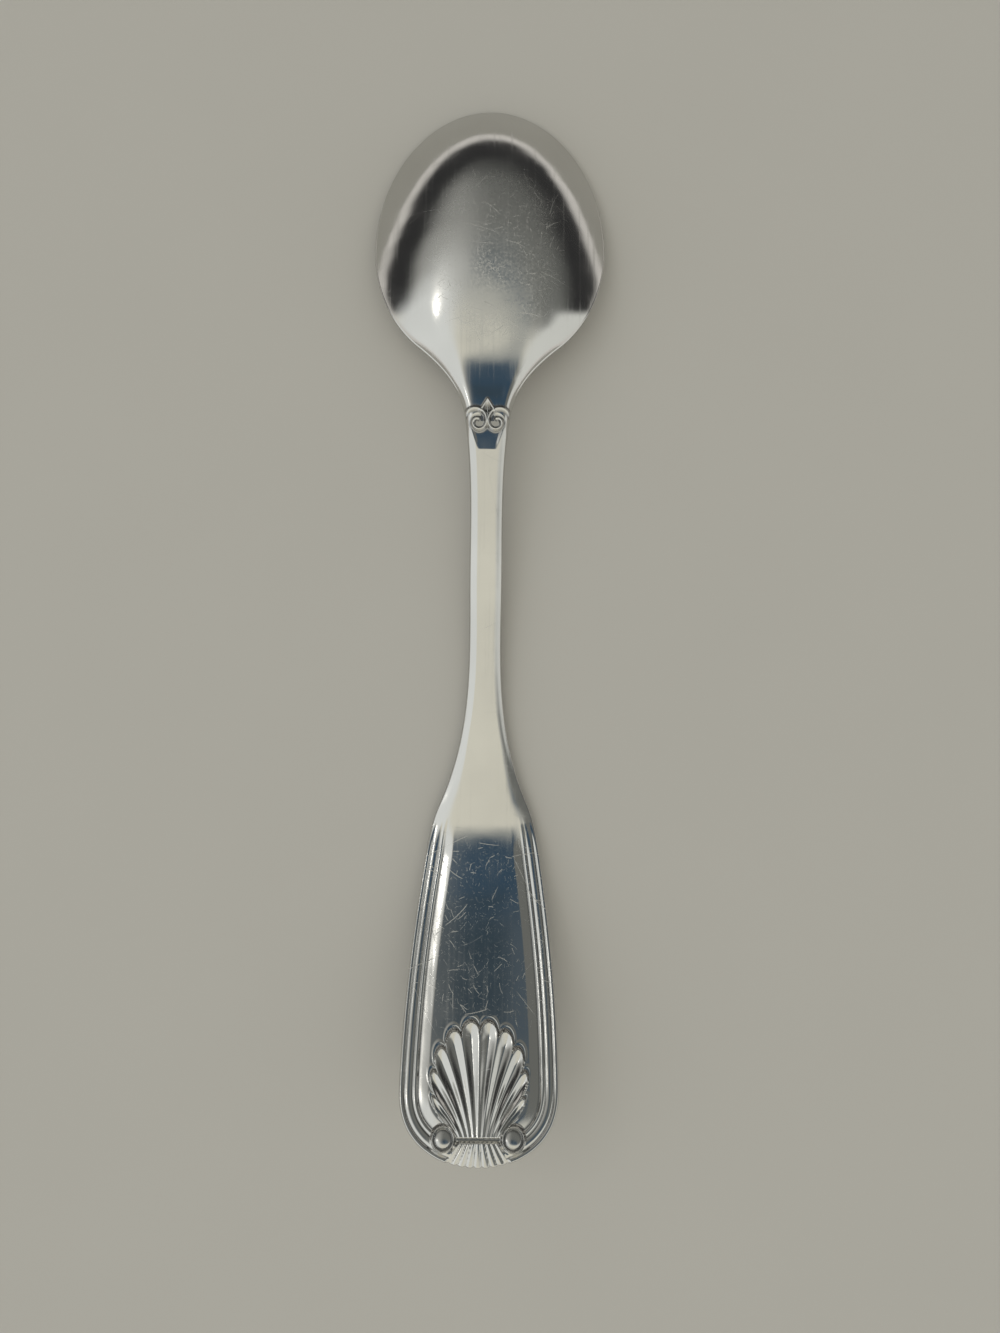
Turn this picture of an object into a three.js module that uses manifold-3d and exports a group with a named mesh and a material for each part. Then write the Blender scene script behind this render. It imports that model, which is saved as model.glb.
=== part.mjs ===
// Teaspoon in the fiddle-thread-and-shell pattern, stamped from one blank of stainless steel.
// Millimetres, +Z up. It lies face down: the back of the bowl and of the handle faces up,
// +Y points to the bowl tip, x = 0 is the plane of symmetry and z = 0 is the table.
// Every surface is a height over (x, s), where s is the distance from the bowl tip along the table.
// The blank is kept as its named sections, which meet face to face.

import * as THREE from 'three';
import { mergeVertices } from 'three/addons/utils/BufferGeometryUtils.js';
import Module from 'manifold-3d';

// Overall
const LENGTH = 155;

// Bowl
const BOWL_WIDTH = 35.4;
const BOWL_WIDEST = 24.5; // from the tip
const NECK = 48; // from the tip to where the rim runs into the stem
const NECK_RUNOUT = 1.9; // the oval of the bowl would close this far before the neck
const OVAL_SHARE = 0.81; // share of the oval's rear half before the neck's hollow curve takes over
const BOWL_HEIGHT = 8.7; // crown of the back above the rim
const BOWL_FULLNESS = 0.4; // 0 is a parabola, more is flatter on top and steeper at the rim
const BOWL_ROUND = 2; // power of the back's cross-section at the widest place
const NECK_FLATNESS = 0.9; // how fast that power grows as the bowl narrows to the neck
const BOWL_WALL = 1.3;
const RIM_LAND = 1.0; // width of the flat underside of the rim
const RIM_EDGE = 0.6; // height of the rim's outer edge
const HOLLOW_MARGIN = 1.9; // the hollow ends this far before the heel
const HOLLOW_SHOAL = 0.16; // share by which the hollow grows shallower towards the neck
const RIM_SWEEP = 1.6; // power of the rim's rise from the tip to the neck
const NECK_RISE = 6; // underside of the neck above the table
const NECK_EASE = 0.5; // rounding where the rim turns into the stem
// Nape between the crown and the stem: place from the neck, share of the fall, slope
const NAPE = [
  [-8, 0.387, -0.216],
  [-2, 0.66, -0.123],
  [2, 0.76, -0.081],
];

// Stem
const HEEL_WIDTH = 6.7;
const HEEL_AT = 5; // where the heel has that width, past the neck
const HEEL_FLARE = -0.15; // slope of the outline there
const HEEL_LENGTH = 11;
const HEEL_LEAD = 0.5; // the heel starts this far before the neck
const STEM_WIDTH = 4.9;
const STEM_NARROWEST = 76; // from the tip
const STEM_BEVEL = 1.3;
const STEM_EDGE_DROP = 0.6; // how far the bevel falls to the edge
const STEM_EDGE_ROUND = 1.7; // power of that fall
const STEM_THICKNESS = 2.7;

// Handle, with places measured from the butt
const HANDLE_WIDTH = 21.1;
const HANDLE_WIDEST = 9.5;
const BUTT_SQUARENESS = 2.6; // power of the end's rounded outline
const FLARE_AT = 46;
const FLARE_WIDTH = 12.5;
const FLARE_SLOPE = 0.43;
const SHOULDER_AT = 39.5;
const SHOULDER_WIDTH = 16.1;
const SHOULDER_SLOPE = 0.15;
const HANDLE_THICKNESS = 2.1;
const END_THICKNESS = 1.9;
const END_RISE = 12.3; // the end curls up this far
const END_CURL = 1.5; // power of that rise
const REST_FROM = 47; // the flat on which the handle rests
const REST_TO = 43;

// Thread border, from the edge inward
const THREAD_WIDTHS = [0.75, 1.1, 0.65];
const THREAD_CREST = 0.08; // crests below the panel
const THREAD_GROOVE = 0.38; // grooves below the panel
const THREAD_FLANK = 0.3; // share of a thread's width taken by each flank
const EDGE_DROP = 0.55; // outer edge below the panel
const PANEL_BEVEL = 1.4;
const BORDER_START = 57; // from the butt, where the stem's bevel starts to widen
const THREAD_START = 44; // from the butt
const THREAD_FULL = 38;

// Heel ornament
const SCROLL_SPREAD = 1.25; // centre of each scroll from the middle
const SCROLL_AT = 6.1; // past the neck
// Scroll from the stem's edge to its eye: turn, distance from the centre, slope per turn
const SCROLL = [
  [0.06, 2.4, -1],
  [0.25, 1.9, -4.2],
  [0.5, 1.1, -0.9],
  [0.75, 1.05, -0.2],
  [1, 0.85, -1.2],
  [1.22, 0.45, -2],
];
const SCROLL_LINE = 0.6; // width of the raised line
const LEAF_AT = 2.75; // tip of the leaf past the neck
const LEAF_LENGTH = 1.7;
const LEAF_HALF = 1.05; // foot of each blade from the middle
const LEAF_LINE = 0.44;
const VEIN_LENGTH = 3;
const VEIN_LINE = 0.38;
const SCROLL_RISE = 0.32;
const LEAF_RISE = 0.26;
const VEIN_RISE = 0.2;

// Shell, volutes and reeded butt, the same on the front and the back
const SHELL_BASE = 3.4; // from the butt
const SHELL_BASE_WIDTH = 5.6;
const SHELL_HEIGHT = 13.7; // from the base to the top lobes
const SHELL_WIDTH = 12.9; // across the ends of the widest flutes
const SHELL_OVAL = 14.2; // length of the oval on which the flutes end
const SHELL_SWEEP = THREE.MathUtils.degToRad(125); // round that oval, from its top to the last flute
const SHELL_FLUTES = 10;
const SHELL_CURL = 1.25; // power by which the flutes bend outward
const SHELL_NOTCH = 0.09; // depth of the notches between lobes, as a share of the oval
const SHELL_RISE = 0.7;
const SHELL_SCOOP = 0.5;
const VOLUTE_RADIUS = 1.5;
const VOLUTE_SPREAD = 4.5;
const VOLUTE_RISE = 0.6;
const REEDS = 9;
const REED_RISE = 0.35;
const REED_BASE_WIDTH = 5.2;
const REED_END_WIDTH = 9.6;
const REED_START = 2.9; // from the butt
const REED_INSET = 0.15; // from the edge of the butt

// Sections of the handle, from the butt
const SHOULDERS_FROM = 52;
const PANEL_FROM = 37;
const SHELL_FROM = 17.5;

// Where the sections meet
const HEEL_START = NECK - HEEL_LEAD;
const STEM_START = HEEL_START + HEEL_LENGTH;
const SHOULDERS_START = LENGTH - SHOULDERS_FROM;
const PANEL_START = LENGTH - PANEL_FROM;
const SHELL_START = LENGTH - SHELL_FROM;

// Steps of the lofts
const BOWL_STEPS = 30;
const HOLLOW_STEPS = 24;
const HOLLOW_COLUMNS = 20;
const HEEL_STEPS = 10;
const STEM_STEPS = 10;
const SHOULDER_STEPS = 9;
const PANEL_STEPS = 7;
const END_STEPS = 5;
const CORNER_STEPS = 14;
const SCROLL_STEPS = 26;

const square = (v) => v * v;
const mix = (a, b, f) => a + (b - a) * f;
const ramp = (from, to, v) => THREE.MathUtils.smoothstep(v, from, to);
const sum = (values) => values.reduce((total, v) => total + v, 0);
const steps = (count) => Array.from({ length: count + 1 }, (_, i) => i / count);

// Cubic through two stations [place, value, slope]
function hermite([s0, v0, m0], [s1, v1, m1], s) {
  const span = s1 - s0;
  const u = (s - s0) / span;
  const rise = (v1 - v0) * u * u * (3 - 2 * u);
  return v0 + rise + span * u * (1 - u) * (m0 * (1 - u) - m1 * u);
}

// Cubic through a row of stations, one span at a time
function through(stations, s) {
  const next = stations.findIndex(([at]) => at > s);
  const last = next < 0 ? stations.length - 1 : Math.max(1, next);
  return hermite(stations[last - 1], stations[last], s);
}

// Outline

const OVAL_BACK = NECK - NECK_RUNOUT - BOWL_WIDEST;
const OVAL_END = BOWL_WIDEST + OVAL_SHARE * OVAL_BACK;
const WIDEST_AT = LENGTH - HANDLE_WIDEST;

function oval(s, halfWidth, widest, back) {
  const u = s < widest ? (widest - s) / widest : (s - widest) / back;
  return halfWidth * Math.sqrt(Math.max(0, 1 - u * u));
}

const bowlOval = (s) => oval(s, BOWL_WIDTH / 2, BOWL_WIDEST, OVAL_BACK);
const ovalEndSlope = -square(BOWL_WIDTH / 2) * OVAL_SHARE / OVAL_BACK / bowlOval(OVAL_END);

const OUTLINE = [
  [OVAL_END, bowlOval(OVAL_END), ovalEndSlope],
  [NECK + HEEL_AT, HEEL_WIDTH / 2, HEEL_FLARE],
  [STEM_NARROWEST, STEM_WIDTH / 2, 0],
  [LENGTH - FLARE_AT, FLARE_WIDTH / 2, FLARE_SLOPE],
  [LENGTH - SHOULDER_AT, SHOULDER_WIDTH / 2, SHOULDER_SLOPE],
  [WIDEST_AT, HANDLE_WIDTH / 2, 0],
];

function halfWidth(s) {
  if (s <= OVAL_END) return bowlOval(s);
  if (s >= WIDEST_AT) {
    const u = Math.min(1, (s - WIDEST_AT) / HANDLE_WIDEST);
    return HANDLE_WIDTH / 2 * Math.sqrt(1 - Math.pow(u, BUTT_SQUARENESS));
  }
  return through(OUTLINE, s);
}

// Where the outline of the butt lies at a distance x from the middle
function buttAt(x) {
  return WIDEST_AT + HANDLE_WIDEST * Math.pow(1 - square(x / (HANDLE_WIDTH / 2)), 1 / BUTT_SQUARENESS);
}

// Side profile

const REST_START = LENGTH - REST_FROM;
const REST_END = LENGTH - REST_TO;

function under(s) {
  if (s >= REST_END) return END_RISE * Math.pow((s - REST_END) / REST_TO, END_CURL);
  if (s >= REST_START) return 0;
  const stem = NECK_RISE * square((REST_START - s) / (REST_START - NECK));
  const rim = NECK_RISE * Math.pow(s / NECK, RIM_SWEEP);
  const overlap = Math.max(0, NECK_EASE - Math.abs(rim - stem));
  return Math.min(rim, stem) - square(overlap) / (4 * NECK_EASE);
}

function thickness(s) {
  const along = mix(STEM_THICKNESS, HANDLE_THICKNESS, ramp(STEM_START, REST_START, s));
  return mix(along, END_THICKNESS, ramp(REST_END, LENGTH, s));
}

const slopeOf = (profile, s) => (profile(s + 0.01) - profile(s - 0.01)) / 0.02;
const bar = (s) => under(s) + thickness(s);
const dome = (m) => (1 + BOWL_FULLNESS) * m - BOWL_FULLNESS * m * m;

function undome(height) {
  const b = 1 + BOWL_FULLNESS;
  return (b - Math.sqrt(b * b - 4 * BOWL_FULLNESS * height)) / (2 * BOWL_FULLNESS);
}

const DOME_HEIGHT = BOWL_HEIGHT - RIM_EDGE;
const CROWN = [BOWL_WIDEST, under(BOWL_WIDEST) + BOWL_HEIGHT, slopeOf(under, BOWL_WIDEST)];
const STEM_TOP = [STEM_START, bar(STEM_START), slopeOf(bar, STEM_START)];
const FALL = NAPE.map(([at, share, slope]) => [NECK + at, mix(CROWN[1], STEM_TOP[1], share), slope]);
const NAPE_LINE = [CROWN, ...FALL, STEM_TOP];

// Centreline of the back
function crown(s) {
  if (s >= STEM_START) return bar(s);
  if (s > BOWL_WIDEST) return through(NAPE_LINE, s);
  return under(s) + RIM_EDGE + DOME_HEIGHT * dome(1 - square(1 - s / BOWL_WIDEST));
}

// Cross-section

const HANDLE_BORDER = sum(THREAD_WIDTHS) + PANEL_BEVEL;

// Bends of the thread border, each a place from the edge and a height against the panel
function threadBends() {
  const bends = [[0, -EDGE_DROP]];
  let edge = 0;
  for (const width of THREAD_WIDTHS) {
    bends.push([edge + THREAD_FLANK * width, -THREAD_CREST]);
    bends.push([edge + (1 - THREAD_FLANK) * width, -THREAD_CREST]);
    bends.push([edge + width, -THREAD_GROOVE]);
    edge += width;
  }
  bends.push([HANDLE_BORDER, 0]);
  return bends;
}

const BENDS = threadBends();
const PANEL_EDGE = BENDS.length - 2; // the innermost groove, where the border meets the panel's bevel

const borderWidth = (s) => mix(STEM_BEVEL, HANDLE_BORDER, ramp(LENGTH - BORDER_START, PANEL_START, s));

// Height of the border at a share of its width from the edge, against the flat of the back
function borderHeight(share, s) {
  const place = THREE.MathUtils.clamp(share, 0, 1) * HANDLE_BORDER;
  const next = Math.max(1, BENDS.findIndex(([at]) => at >= place - 1e-9));
  const [[d0, h0], [d1, h1]] = [BENDS[next - 1], BENDS[next]];
  const threads = mix(h0, h1, (place - d0) / (d1 - d0));
  const bevel = -STEM_EDGE_DROP * Math.pow(1 - place / HANDLE_BORDER, STEM_EDGE_ROUND);
  return mix(bevel, threads, ramp(LENGTH - THREAD_START, LENGTH - THREAD_FULL, s));
}

const stemShare = (s) => ramp(HEEL_START, STEM_START, s);

// Power of the back's cross-section, which grows as the outline narrows behind the widest place
function roundness(s) {
  const narrowing = BOWL_WIDTH / 2 / halfWidth(Math.max(s, BOWL_WIDEST));
  return BOWL_ROUND * Math.pow(narrowing, NECK_FLATNESS);
}

function back(x, s) {
  const half = halfWidth(s);
  const base = under(s) + RIM_EDGE;
  const t = half > 0 ? Math.min(1, Math.abs(x) / half) : 0;
  const height = THREE.MathUtils.clamp((crown(s) - base) / DOME_HEIGHT, 0, 1);
  const bowl = base + DOME_HEIGHT * dome(undome(height) * (1 - Math.pow(t, roundness(s))));
  const stem = bar(s) + borderHeight((half - Math.abs(x)) / borderWidth(s), s);
  return mix(bowl, stem, stemShare(s));
}

function front(x, s) {
  const edge = borderHeight((halfWidth(s) - Math.abs(x)) / borderWidth(s), s);
  return under(s) - edge * stemShare(s);
}

// Solids

const y = (s) => LENGTH / 2 - s;

// Closed geometry from points and triangles, welded, with its faces turned outward
function closed(points, triangles) {
  const loose = new THREE.BufferGeometry();
  loose.setAttribute('position', new THREE.Float32BufferAttribute(points.flat(), 3));
  loose.setIndex(triangles.flat());
  const geometry = mergeVertices(loose, 1e-4);
  const place = geometry.getAttribute('position');
  const corner = (i) => new THREE.Vector3().fromBufferAttribute(place, i);
  const index = geometry.getIndex().array;
  const kept = [];
  let volume = 0;
  for (let i = 0; i < index.length; i += 3) {
    const [a, b, c] = index.slice(i, i + 3);
    if (a === b || b === c || c === a) continue;
    kept.push([a, b, c]);
    volume += corner(a).dot(corner(b).cross(corner(c)));
  }
  const outward = volume < 0 ? kept.map(([a, b, c]) => [a, c, b]) : kept;
  geometry.setIndex(outward.flat());
  return geometry;
}

// Solid between a top and a bottom height over one grid. Each row holds points { x, s, top, bottom }.
// With folded, the two halves of the last row lie on each other and need no wall.
function plate(rows, folded = false) {
  const width = rows[0].length;
  const flat = rows.flat();
  const points = flat.map((p) => [p.x, y(p.s), p.top]);
  points.push(...flat.map((p) => [p.x, y(p.s), p.bottom]));
  const top = (i, j) => i * width + j;
  const bottom = (i, j) => flat.length + top(i, j);
  const triangles = [];
  const quad = (a, b, c, d) => triangles.push([a, b, c], [a, c, d]);
  const last = rows.length - 1;
  const right = width - 1;
  for (let i = 0; i < last; i++) {
    for (let j = 0; j < right; j++) {
      quad(top(i, j), top(i + 1, j), top(i + 1, j + 1), top(i, j + 1));
      quad(bottom(i, j), bottom(i, j + 1), bottom(i + 1, j + 1), bottom(i + 1, j));
    }
    quad(top(i, 0), bottom(i, 0), bottom(i + 1, 0), top(i + 1, 0));
    quad(top(i, right), top(i + 1, right), bottom(i + 1, right), bottom(i, right));
  }
  for (let j = 0; j < right; j++) {
    quad(top(0, j), top(0, j + 1), bottom(0, j + 1), bottom(0, j));
    if (!folded) quad(top(last, j), bottom(last, j), bottom(last, j + 1), top(last, j + 1));
  }
  return closed(points, triangles);
}

const wasm = await Module();
wasm.setup();

function toManifold(geometry) {
  const vertProperties = new Float32Array(geometry.getAttribute('position').array);
  const triVerts = new Uint32Array(geometry.getIndex().array);
  return new wasm.Manifold(new wasm.Mesh({ numProp: 3, vertProperties, triVerts }));
}

function fromManifold(solid) {
  const mesh = solid.getMesh();
  const geometry = new THREE.BufferGeometry();
  geometry.setAttribute('position', new THREE.Float32BufferAttribute(mesh.vertProperties, 3));
  geometry.setIndex([...mesh.triVerts]);
  return geometry;
}

const joined = (...pieces) => fromManifold(pieces.map(toManifold).reduce((whole, piece) => whole.add(piece)));
const cut = (body, tool) => fromManifold(toManifold(body).subtract(toManifold(tool)));

// Places across the spoon: even steps round the bowl's dome, the border's bends along the handle
function columns(s) {
  const half = halfWidth(s);
  const border = borderWidth(s);
  const left = BENDS.map(([at]) => border * at / HANDLE_BORDER - half);
  const inner = half - border;
  const right = left.map((x) => -x).reverse();
  const bar = [...left, -inner / 2, 0, inner / 2, ...right];
  const turn = (j) => Math.sin(Math.PI * (j / (bar.length - 1) - 0.5));
  return bar.map((x, j) => mix(half * turn(j), x, stemShare(s)));
}

const sectionRow = (s) => columns(s).map((x) => ({ x, s, top: back(x, s), bottom: front(x, s) }));
const stretch = (from, to, count) => steps(count).map((f) => sectionRow(mix(from, to, f)));

// Bowl: a full dome, less its hollow

function bowl() {
  const places = steps(BOWL_STEPS).map((f) => HEEL_START * mix(f, 1 - Math.cos(f * Math.PI / 2), 0.5));
  const full = plate(places.map(sectionRow));
  const hollowEnd = HEEL_START - HOLLOW_MARGIN;
  const hollowBack = hollowEnd - BOWL_WIDEST;
  const hollowFront = BOWL_WIDEST - RIM_LAND;
  const hollowHeight = BOWL_HEIGHT - BOWL_WALL;
  const rows = steps(HOLLOW_STEPS).map((f) => {
    const s = mix(RIM_LAND, hollowEnd, (1 - Math.cos(f * Math.PI)) / 2);
    const u = s < BOWL_WIDEST ? (BOWL_WIDEST - s) / hollowFront : (s - BOWL_WIDEST) / hollowBack;
    const depth = Math.max(0, 1 - u * u);
    const half = Math.min((BOWL_WIDTH / 2 - RIM_LAND) * Math.sqrt(depth), halfWidth(s) - RIM_LAND);
    const height = hollowHeight * (1 - HOLLOW_SHOAL * ramp(BOWL_WIDEST, NECK, s));
    return steps(HOLLOW_COLUMNS).map((g) => {
      const t = Math.sin(Math.PI * (g - 0.5));
      const top = under(s) + height * dome(depth * (1 - t * t));
      return { x: half * t, s, top, bottom: under(s) - BOWL_HEIGHT };
    });
  });
  return cut(full, plate(rows));
}

// Heel: the drop, with a pair of scrolls and a pointed leaf

// Raised line along a path of points { x, s }, sunk into the back
function raisedLine(path, width, rise) {
  const profile = [[-0.5, -0.1], [-0.2, rise], [0.2, rise], [0.5, -0.1]];
  return plate(path.map((p, i) => {
    const from = path[Math.max(0, i - 1)];
    const to = path[Math.min(path.length - 1, i + 1)];
    const length = Math.hypot(to.x - from.x, to.s - from.s);
    return profile.map(([across, height]) => {
      const x = p.x - across * width * (to.s - from.s) / length;
      const s = p.s + across * width * (to.x - from.x) / length;
      return { x, s, top: back(x, s) + height, bottom: back(x, s) - thickness(s) / 3 };
    });
  }));
}

// Winds from the stem's edge over the top and inward to the eye, inside the outline and its half
function scroll(side) {
  const path = steps(SCROLL_STEPS).map((f) => {
    const turn = mix(SCROLL[0][0], SCROLL.at(-1)[0], f);
    const reach = through(SCROLL, turn);
    const s = NECK + SCROLL_AT - reach * Math.sin(2 * Math.PI * turn);
    const x = SCROLL_SPREAD + reach * Math.cos(2 * Math.PI * turn);
    return { x: side * THREE.MathUtils.clamp(x, 0.55 * SCROLL_LINE, halfWidth(s) - SCROLL_LINE), s };
  });
  return raisedLine(path, SCROLL_LINE, SCROLL_RISE);
}

// Two blades that lean together at the tip, with a vein between them
function leaf() {
  const tip = NECK + LEAF_AT;
  const foot = tip + LEAF_LENGTH;
  const blades = [{ x: -LEAF_HALF, s: foot }, { x: 0, s: tip }, { x: LEAF_HALF, s: foot }];
  const vein = [{ x: 0, s: tip }, { x: 0, s: tip + VEIN_LENGTH }];
  return [raisedLine(blades, LEAF_LINE, LEAF_RISE), raisedLine(vein, VEIN_LINE, VEIN_RISE)];
}

function heel() {
  const drop = plate(stretch(HEEL_START, STEM_START, HEEL_STEPS));
  return joined(drop, scroll(-1), scroll(1), ...leaf());
}

// Handle: rows of the same columns, split along the innermost grooves

function handleStrip(from, to) {
  const rows = stretch(PANEL_START, SHELL_START, PANEL_STEPS);
  return plate(rows.map((row) => row.slice(from, to + 1)));
}

const LAST_COLUMN = columns(PANEL_START).length - 1;

// End of the handle: the border follows the outline round the butt, and folds at the middle

function endOutline() {
  const sides = steps(END_STEPS).slice(0, -1).map((f) => mix(SHELL_START, WIDEST_AT, f));
  const round = steps(CORNER_STEPS).map((f) => {
    const angle = f * Math.PI / 2;
    const s = WIDEST_AT + HANDLE_WIDEST * Math.pow(Math.sin(angle), 2 / BUTT_SQUARENESS);
    return { x: f === 1 ? 0 : HANDLE_WIDTH / 2 * Math.cos(angle), s };
  });
  return [...sides.map((s) => ({ x: halfWidth(s), s })), ...round];
}

function endPlate() {
  const outline = endOutline();
  const rows = outline.map((edge, i) => {
    const before = outline[Math.max(0, i - 1)];
    const after = outline[i + 1] ?? { x: -before.x, s: before.s };
    const length = Math.hypot(after.x - before.x, after.s - before.s);
    const inX = i === 0 ? 1 : (after.s - before.s) / length;
    const inS = i === 0 ? 0 : (after.x - before.x) / length;
    const border = BENDS.map(([d, height]) => {
      const x = edge.x - d * inX;
      const s = edge.s + d * inS;
      return { x, s, top: bar(s) + height, bottom: under(s) - height };
    });
    const left = border.map((p) => ({ ...p, x: -p.x }));
    const inner = border.at(-1);
    const middle = [-0.5, 0, 0.5].map((f) => ({ ...inner, x: f * inner.x }));
    return [...left, ...middle, ...border.reverse()];
  });
  return plate(rows, true);
}

// Point of an ornament that stands on the back (face 1) or on the front (face -1), rooted inside the plate
function relief(face, x, s, rise) {
  const middle = under(s) + thickness(s) / 2;
  return face > 0 ? { x, s, top: bar(s) + rise, bottom: middle } : { x, s, top: middle, bottom: under(s) - rise };
}

// Scooped flutes that fan out from the base and end in round lobes on an oval
function shell(face) {
  const base = LENGTH - SHELL_BASE;
  const centre = base - SHELL_HEIGHT + SHELL_OVAL / 2;
  const across = steps(SHELL_FLUTES * 4);
  const ring = (share, rise, scoop) => across.map((f, j) => {
    const side = 2 * f - 1;
    const v = (j % 4) / 2 - 1;
    const reach = 1 - SHELL_NOTCH * v * v;
    const endX = reach * SHELL_WIDTH / 2 * Math.sin(SHELL_SWEEP * side);
    const endS = centre - reach * SHELL_OVAL / 2 * Math.cos(SHELL_SWEEP * side);
    const x = mix(side * SHELL_BASE_WIDTH / 2, endX, Math.pow(share, SHELL_CURL));
    return relief(face, x, mix(base, endS, share), SHELL_RISE * rise - SHELL_SCOOP * scoop * (1 - v * v));
  });
  return plate([
    ring(0, 0.6, 0.3),
    ring(0.3, 0.75, 0.9),
    ring(0.6, 0.9, 1),
    ring(0.82, 1, 1),
    ring(0.93, 1, 0.45),
    ring(0.975, 0.9, 0),
    ring(1, -0.1, 0),
  ]);
}

// Round boss with a sunk ring round its eye, square to the plate
function volute(side, face) {
  const profile = [[0, -1], [1, -1], [1, 0], [0.86, 0.8], [0.68, 0.8], [0.52, 0.4], [0.36, 1], [0, 1]];
  const points = profile.map(([r, h]) => new THREE.Vector2(r * VOLUTE_RADIUS, h * VOLUTE_RISE));
  const at = LENGTH - SHELL_BASE;
  const surface = face > 0 ? bar : under;
  const boss = new THREE.LatheGeometry(points, 12);
  boss.rotateX(face * Math.PI / 2 - Math.atan(slopeOf(surface, at)));
  boss.translate(side * VOLUTE_SPREAD, y(at), surface(at));
  const place = boss.getAttribute('position');
  const corners = Array.from({ length: place.count }, (_, i) => [place.getX(i), place.getY(i), place.getZ(i)]);
  return closed(corners, [...boss.getIndex().array]);
}

// Reeds that fan out from a straight groove to the edge of the butt
function reeds(face) {
  const round = [-0.7, 0.3, 0.3];
  const across = steps(REEDS * round.length);
  const rows = steps(2).map((along) => across.map((f, j) => {
    const startX = (f - 0.5) * REED_BASE_WIDTH;
    const endX = (f - 0.5) * REED_END_WIDTH;
    const s = mix(LENGTH - REED_START, buttAt(endX) - REED_INSET, along);
    return relief(face, mix(startX, endX, along), s, REED_RISE * round[j % round.length]);
  }));
  return plate(rows);
}

const ornament = (face) => [shell(face), volute(-1, face), volute(1, face), reeds(face)];
const shellEnd = () => joined(endPlate(), ...ornament(1), ...ornament(-1));

// Assembly

const steel = new THREE.MeshStandardMaterial({ color: '#b8b6b0', roughness: 0.18, metalness: 1 });

const SECTIONS = {
  bowl: bowl(),
  heel: heel(),
  stem: plate(stretch(STEM_START, SHOULDERS_START, STEM_STEPS)),
  shoulders: plate(stretch(SHOULDERS_START, PANEL_START, SHOULDER_STEPS)),
  left_thread: handleStrip(0, PANEL_EDGE),
  handle_panel: handleStrip(PANEL_EDGE, LAST_COLUMN - PANEL_EDGE),
  right_thread: handleStrip(LAST_COLUMN - PANEL_EDGE, LAST_COLUMN),
  shell_end: shellEnd(),
};

const teaspoon = new THREE.Group();
for (const [name, geometry] of Object.entries(SECTIONS)) {
  const section = new THREE.Mesh(geometry, steel);
  section.name = name;
  teaspoon.add(section);
}

export default teaspoon;
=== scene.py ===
"""Polished surfaces, steel and studio for a teaspoon in the fiddle-thread-and-shell pattern.

The spoon lies face down with +Y towards the bowl tip. Shapes are worked out in millimetres over
(x, s), where s is the distance from the bowl tip along the table, and become metres in the mesh.
"""

import math

import bpy
import numpy as np
from bpy.props import FloatProperty, FloatVectorProperty, PointerProperty
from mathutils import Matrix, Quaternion, Vector


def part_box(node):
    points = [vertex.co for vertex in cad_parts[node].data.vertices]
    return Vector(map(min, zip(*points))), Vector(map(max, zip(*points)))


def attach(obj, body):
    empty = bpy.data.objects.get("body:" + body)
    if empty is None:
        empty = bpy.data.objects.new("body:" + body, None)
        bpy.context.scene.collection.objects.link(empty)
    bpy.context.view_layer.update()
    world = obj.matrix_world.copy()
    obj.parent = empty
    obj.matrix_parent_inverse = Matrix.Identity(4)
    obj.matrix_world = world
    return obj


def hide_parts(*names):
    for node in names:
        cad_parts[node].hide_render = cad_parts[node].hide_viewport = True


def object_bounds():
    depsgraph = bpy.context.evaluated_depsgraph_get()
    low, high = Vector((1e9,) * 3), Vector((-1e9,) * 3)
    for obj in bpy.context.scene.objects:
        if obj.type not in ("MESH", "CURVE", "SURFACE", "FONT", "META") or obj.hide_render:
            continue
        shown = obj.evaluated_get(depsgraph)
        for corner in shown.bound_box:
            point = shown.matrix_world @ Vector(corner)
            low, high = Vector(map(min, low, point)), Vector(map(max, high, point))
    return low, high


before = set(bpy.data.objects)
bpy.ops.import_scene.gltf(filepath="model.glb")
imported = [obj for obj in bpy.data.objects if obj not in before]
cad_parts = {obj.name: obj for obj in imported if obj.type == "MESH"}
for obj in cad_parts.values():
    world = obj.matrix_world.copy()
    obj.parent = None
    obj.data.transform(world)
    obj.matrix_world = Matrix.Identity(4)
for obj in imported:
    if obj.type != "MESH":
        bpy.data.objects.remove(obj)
CAD_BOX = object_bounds()

bl_info = {
    "name": "Fiddle-thread-and-shell teaspoon",
    "version": (1, 0, 0),
    "blender": (4, 5, 0),
    "location": "View3D > Sidebar > Teaspoon",
    "description": "Dresses the teaspoon with polished surfaces and a plain studio",
    "category": "Object",
}

MM = 0.001
BODY = "root"


def box_size(node, axis):
    """Extent of a CAD node along an axis, in metres."""
    low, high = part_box(node)
    return high[axis] - low[axis]


# Places and forms of the blank, in millimetres

# Bowl
BOWL_WIDEST = 24.5
NECK = 48.0
NECK_RUNOUT = 1.9
OVAL_SHARE = 0.81
BOWL_FULLNESS = 0.4
NECK_FULLNESS = (30.0, 46.0)
BOWL_ROUND = 2.0
NECK_FLATNESS = 0.9
BOWL_WALL = 1.3
RIM_LAND = 1.0
RIM_EDGE = 0.6
RIM_SWEEP = 1.6
HOLLOW_BACK = 21.1
HOLLOW_EASE = 0.03
HOLLOW_SHOAL = 0.16
HOLLOW_FADE = 0.05
NECK_RISE = 6.0
NECK_EASE = 0.5
# Nape between the crown and the stem: place from the neck, share of the fall, slope
NAPE = (
    (-8.0, 0.387, -0.216),
    (-2.0, 0.66, -0.123),
    (2.0, 0.76, -0.081),
)

# Stem
HEEL_WIDTH = 6.7
HEEL_AT = 5.0
HEEL_FLARE = -0.15
HEEL_LENGTH = 11.0
HEEL_LEAD = 0.5
STEM_NARROWEST = 76.0
STEM_BEVEL = 1.3
STEM_EDGE_DROP = 0.6
STEM_EDGE_ROUND = 1.7
STEM_THICKNESS = 2.7

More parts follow.
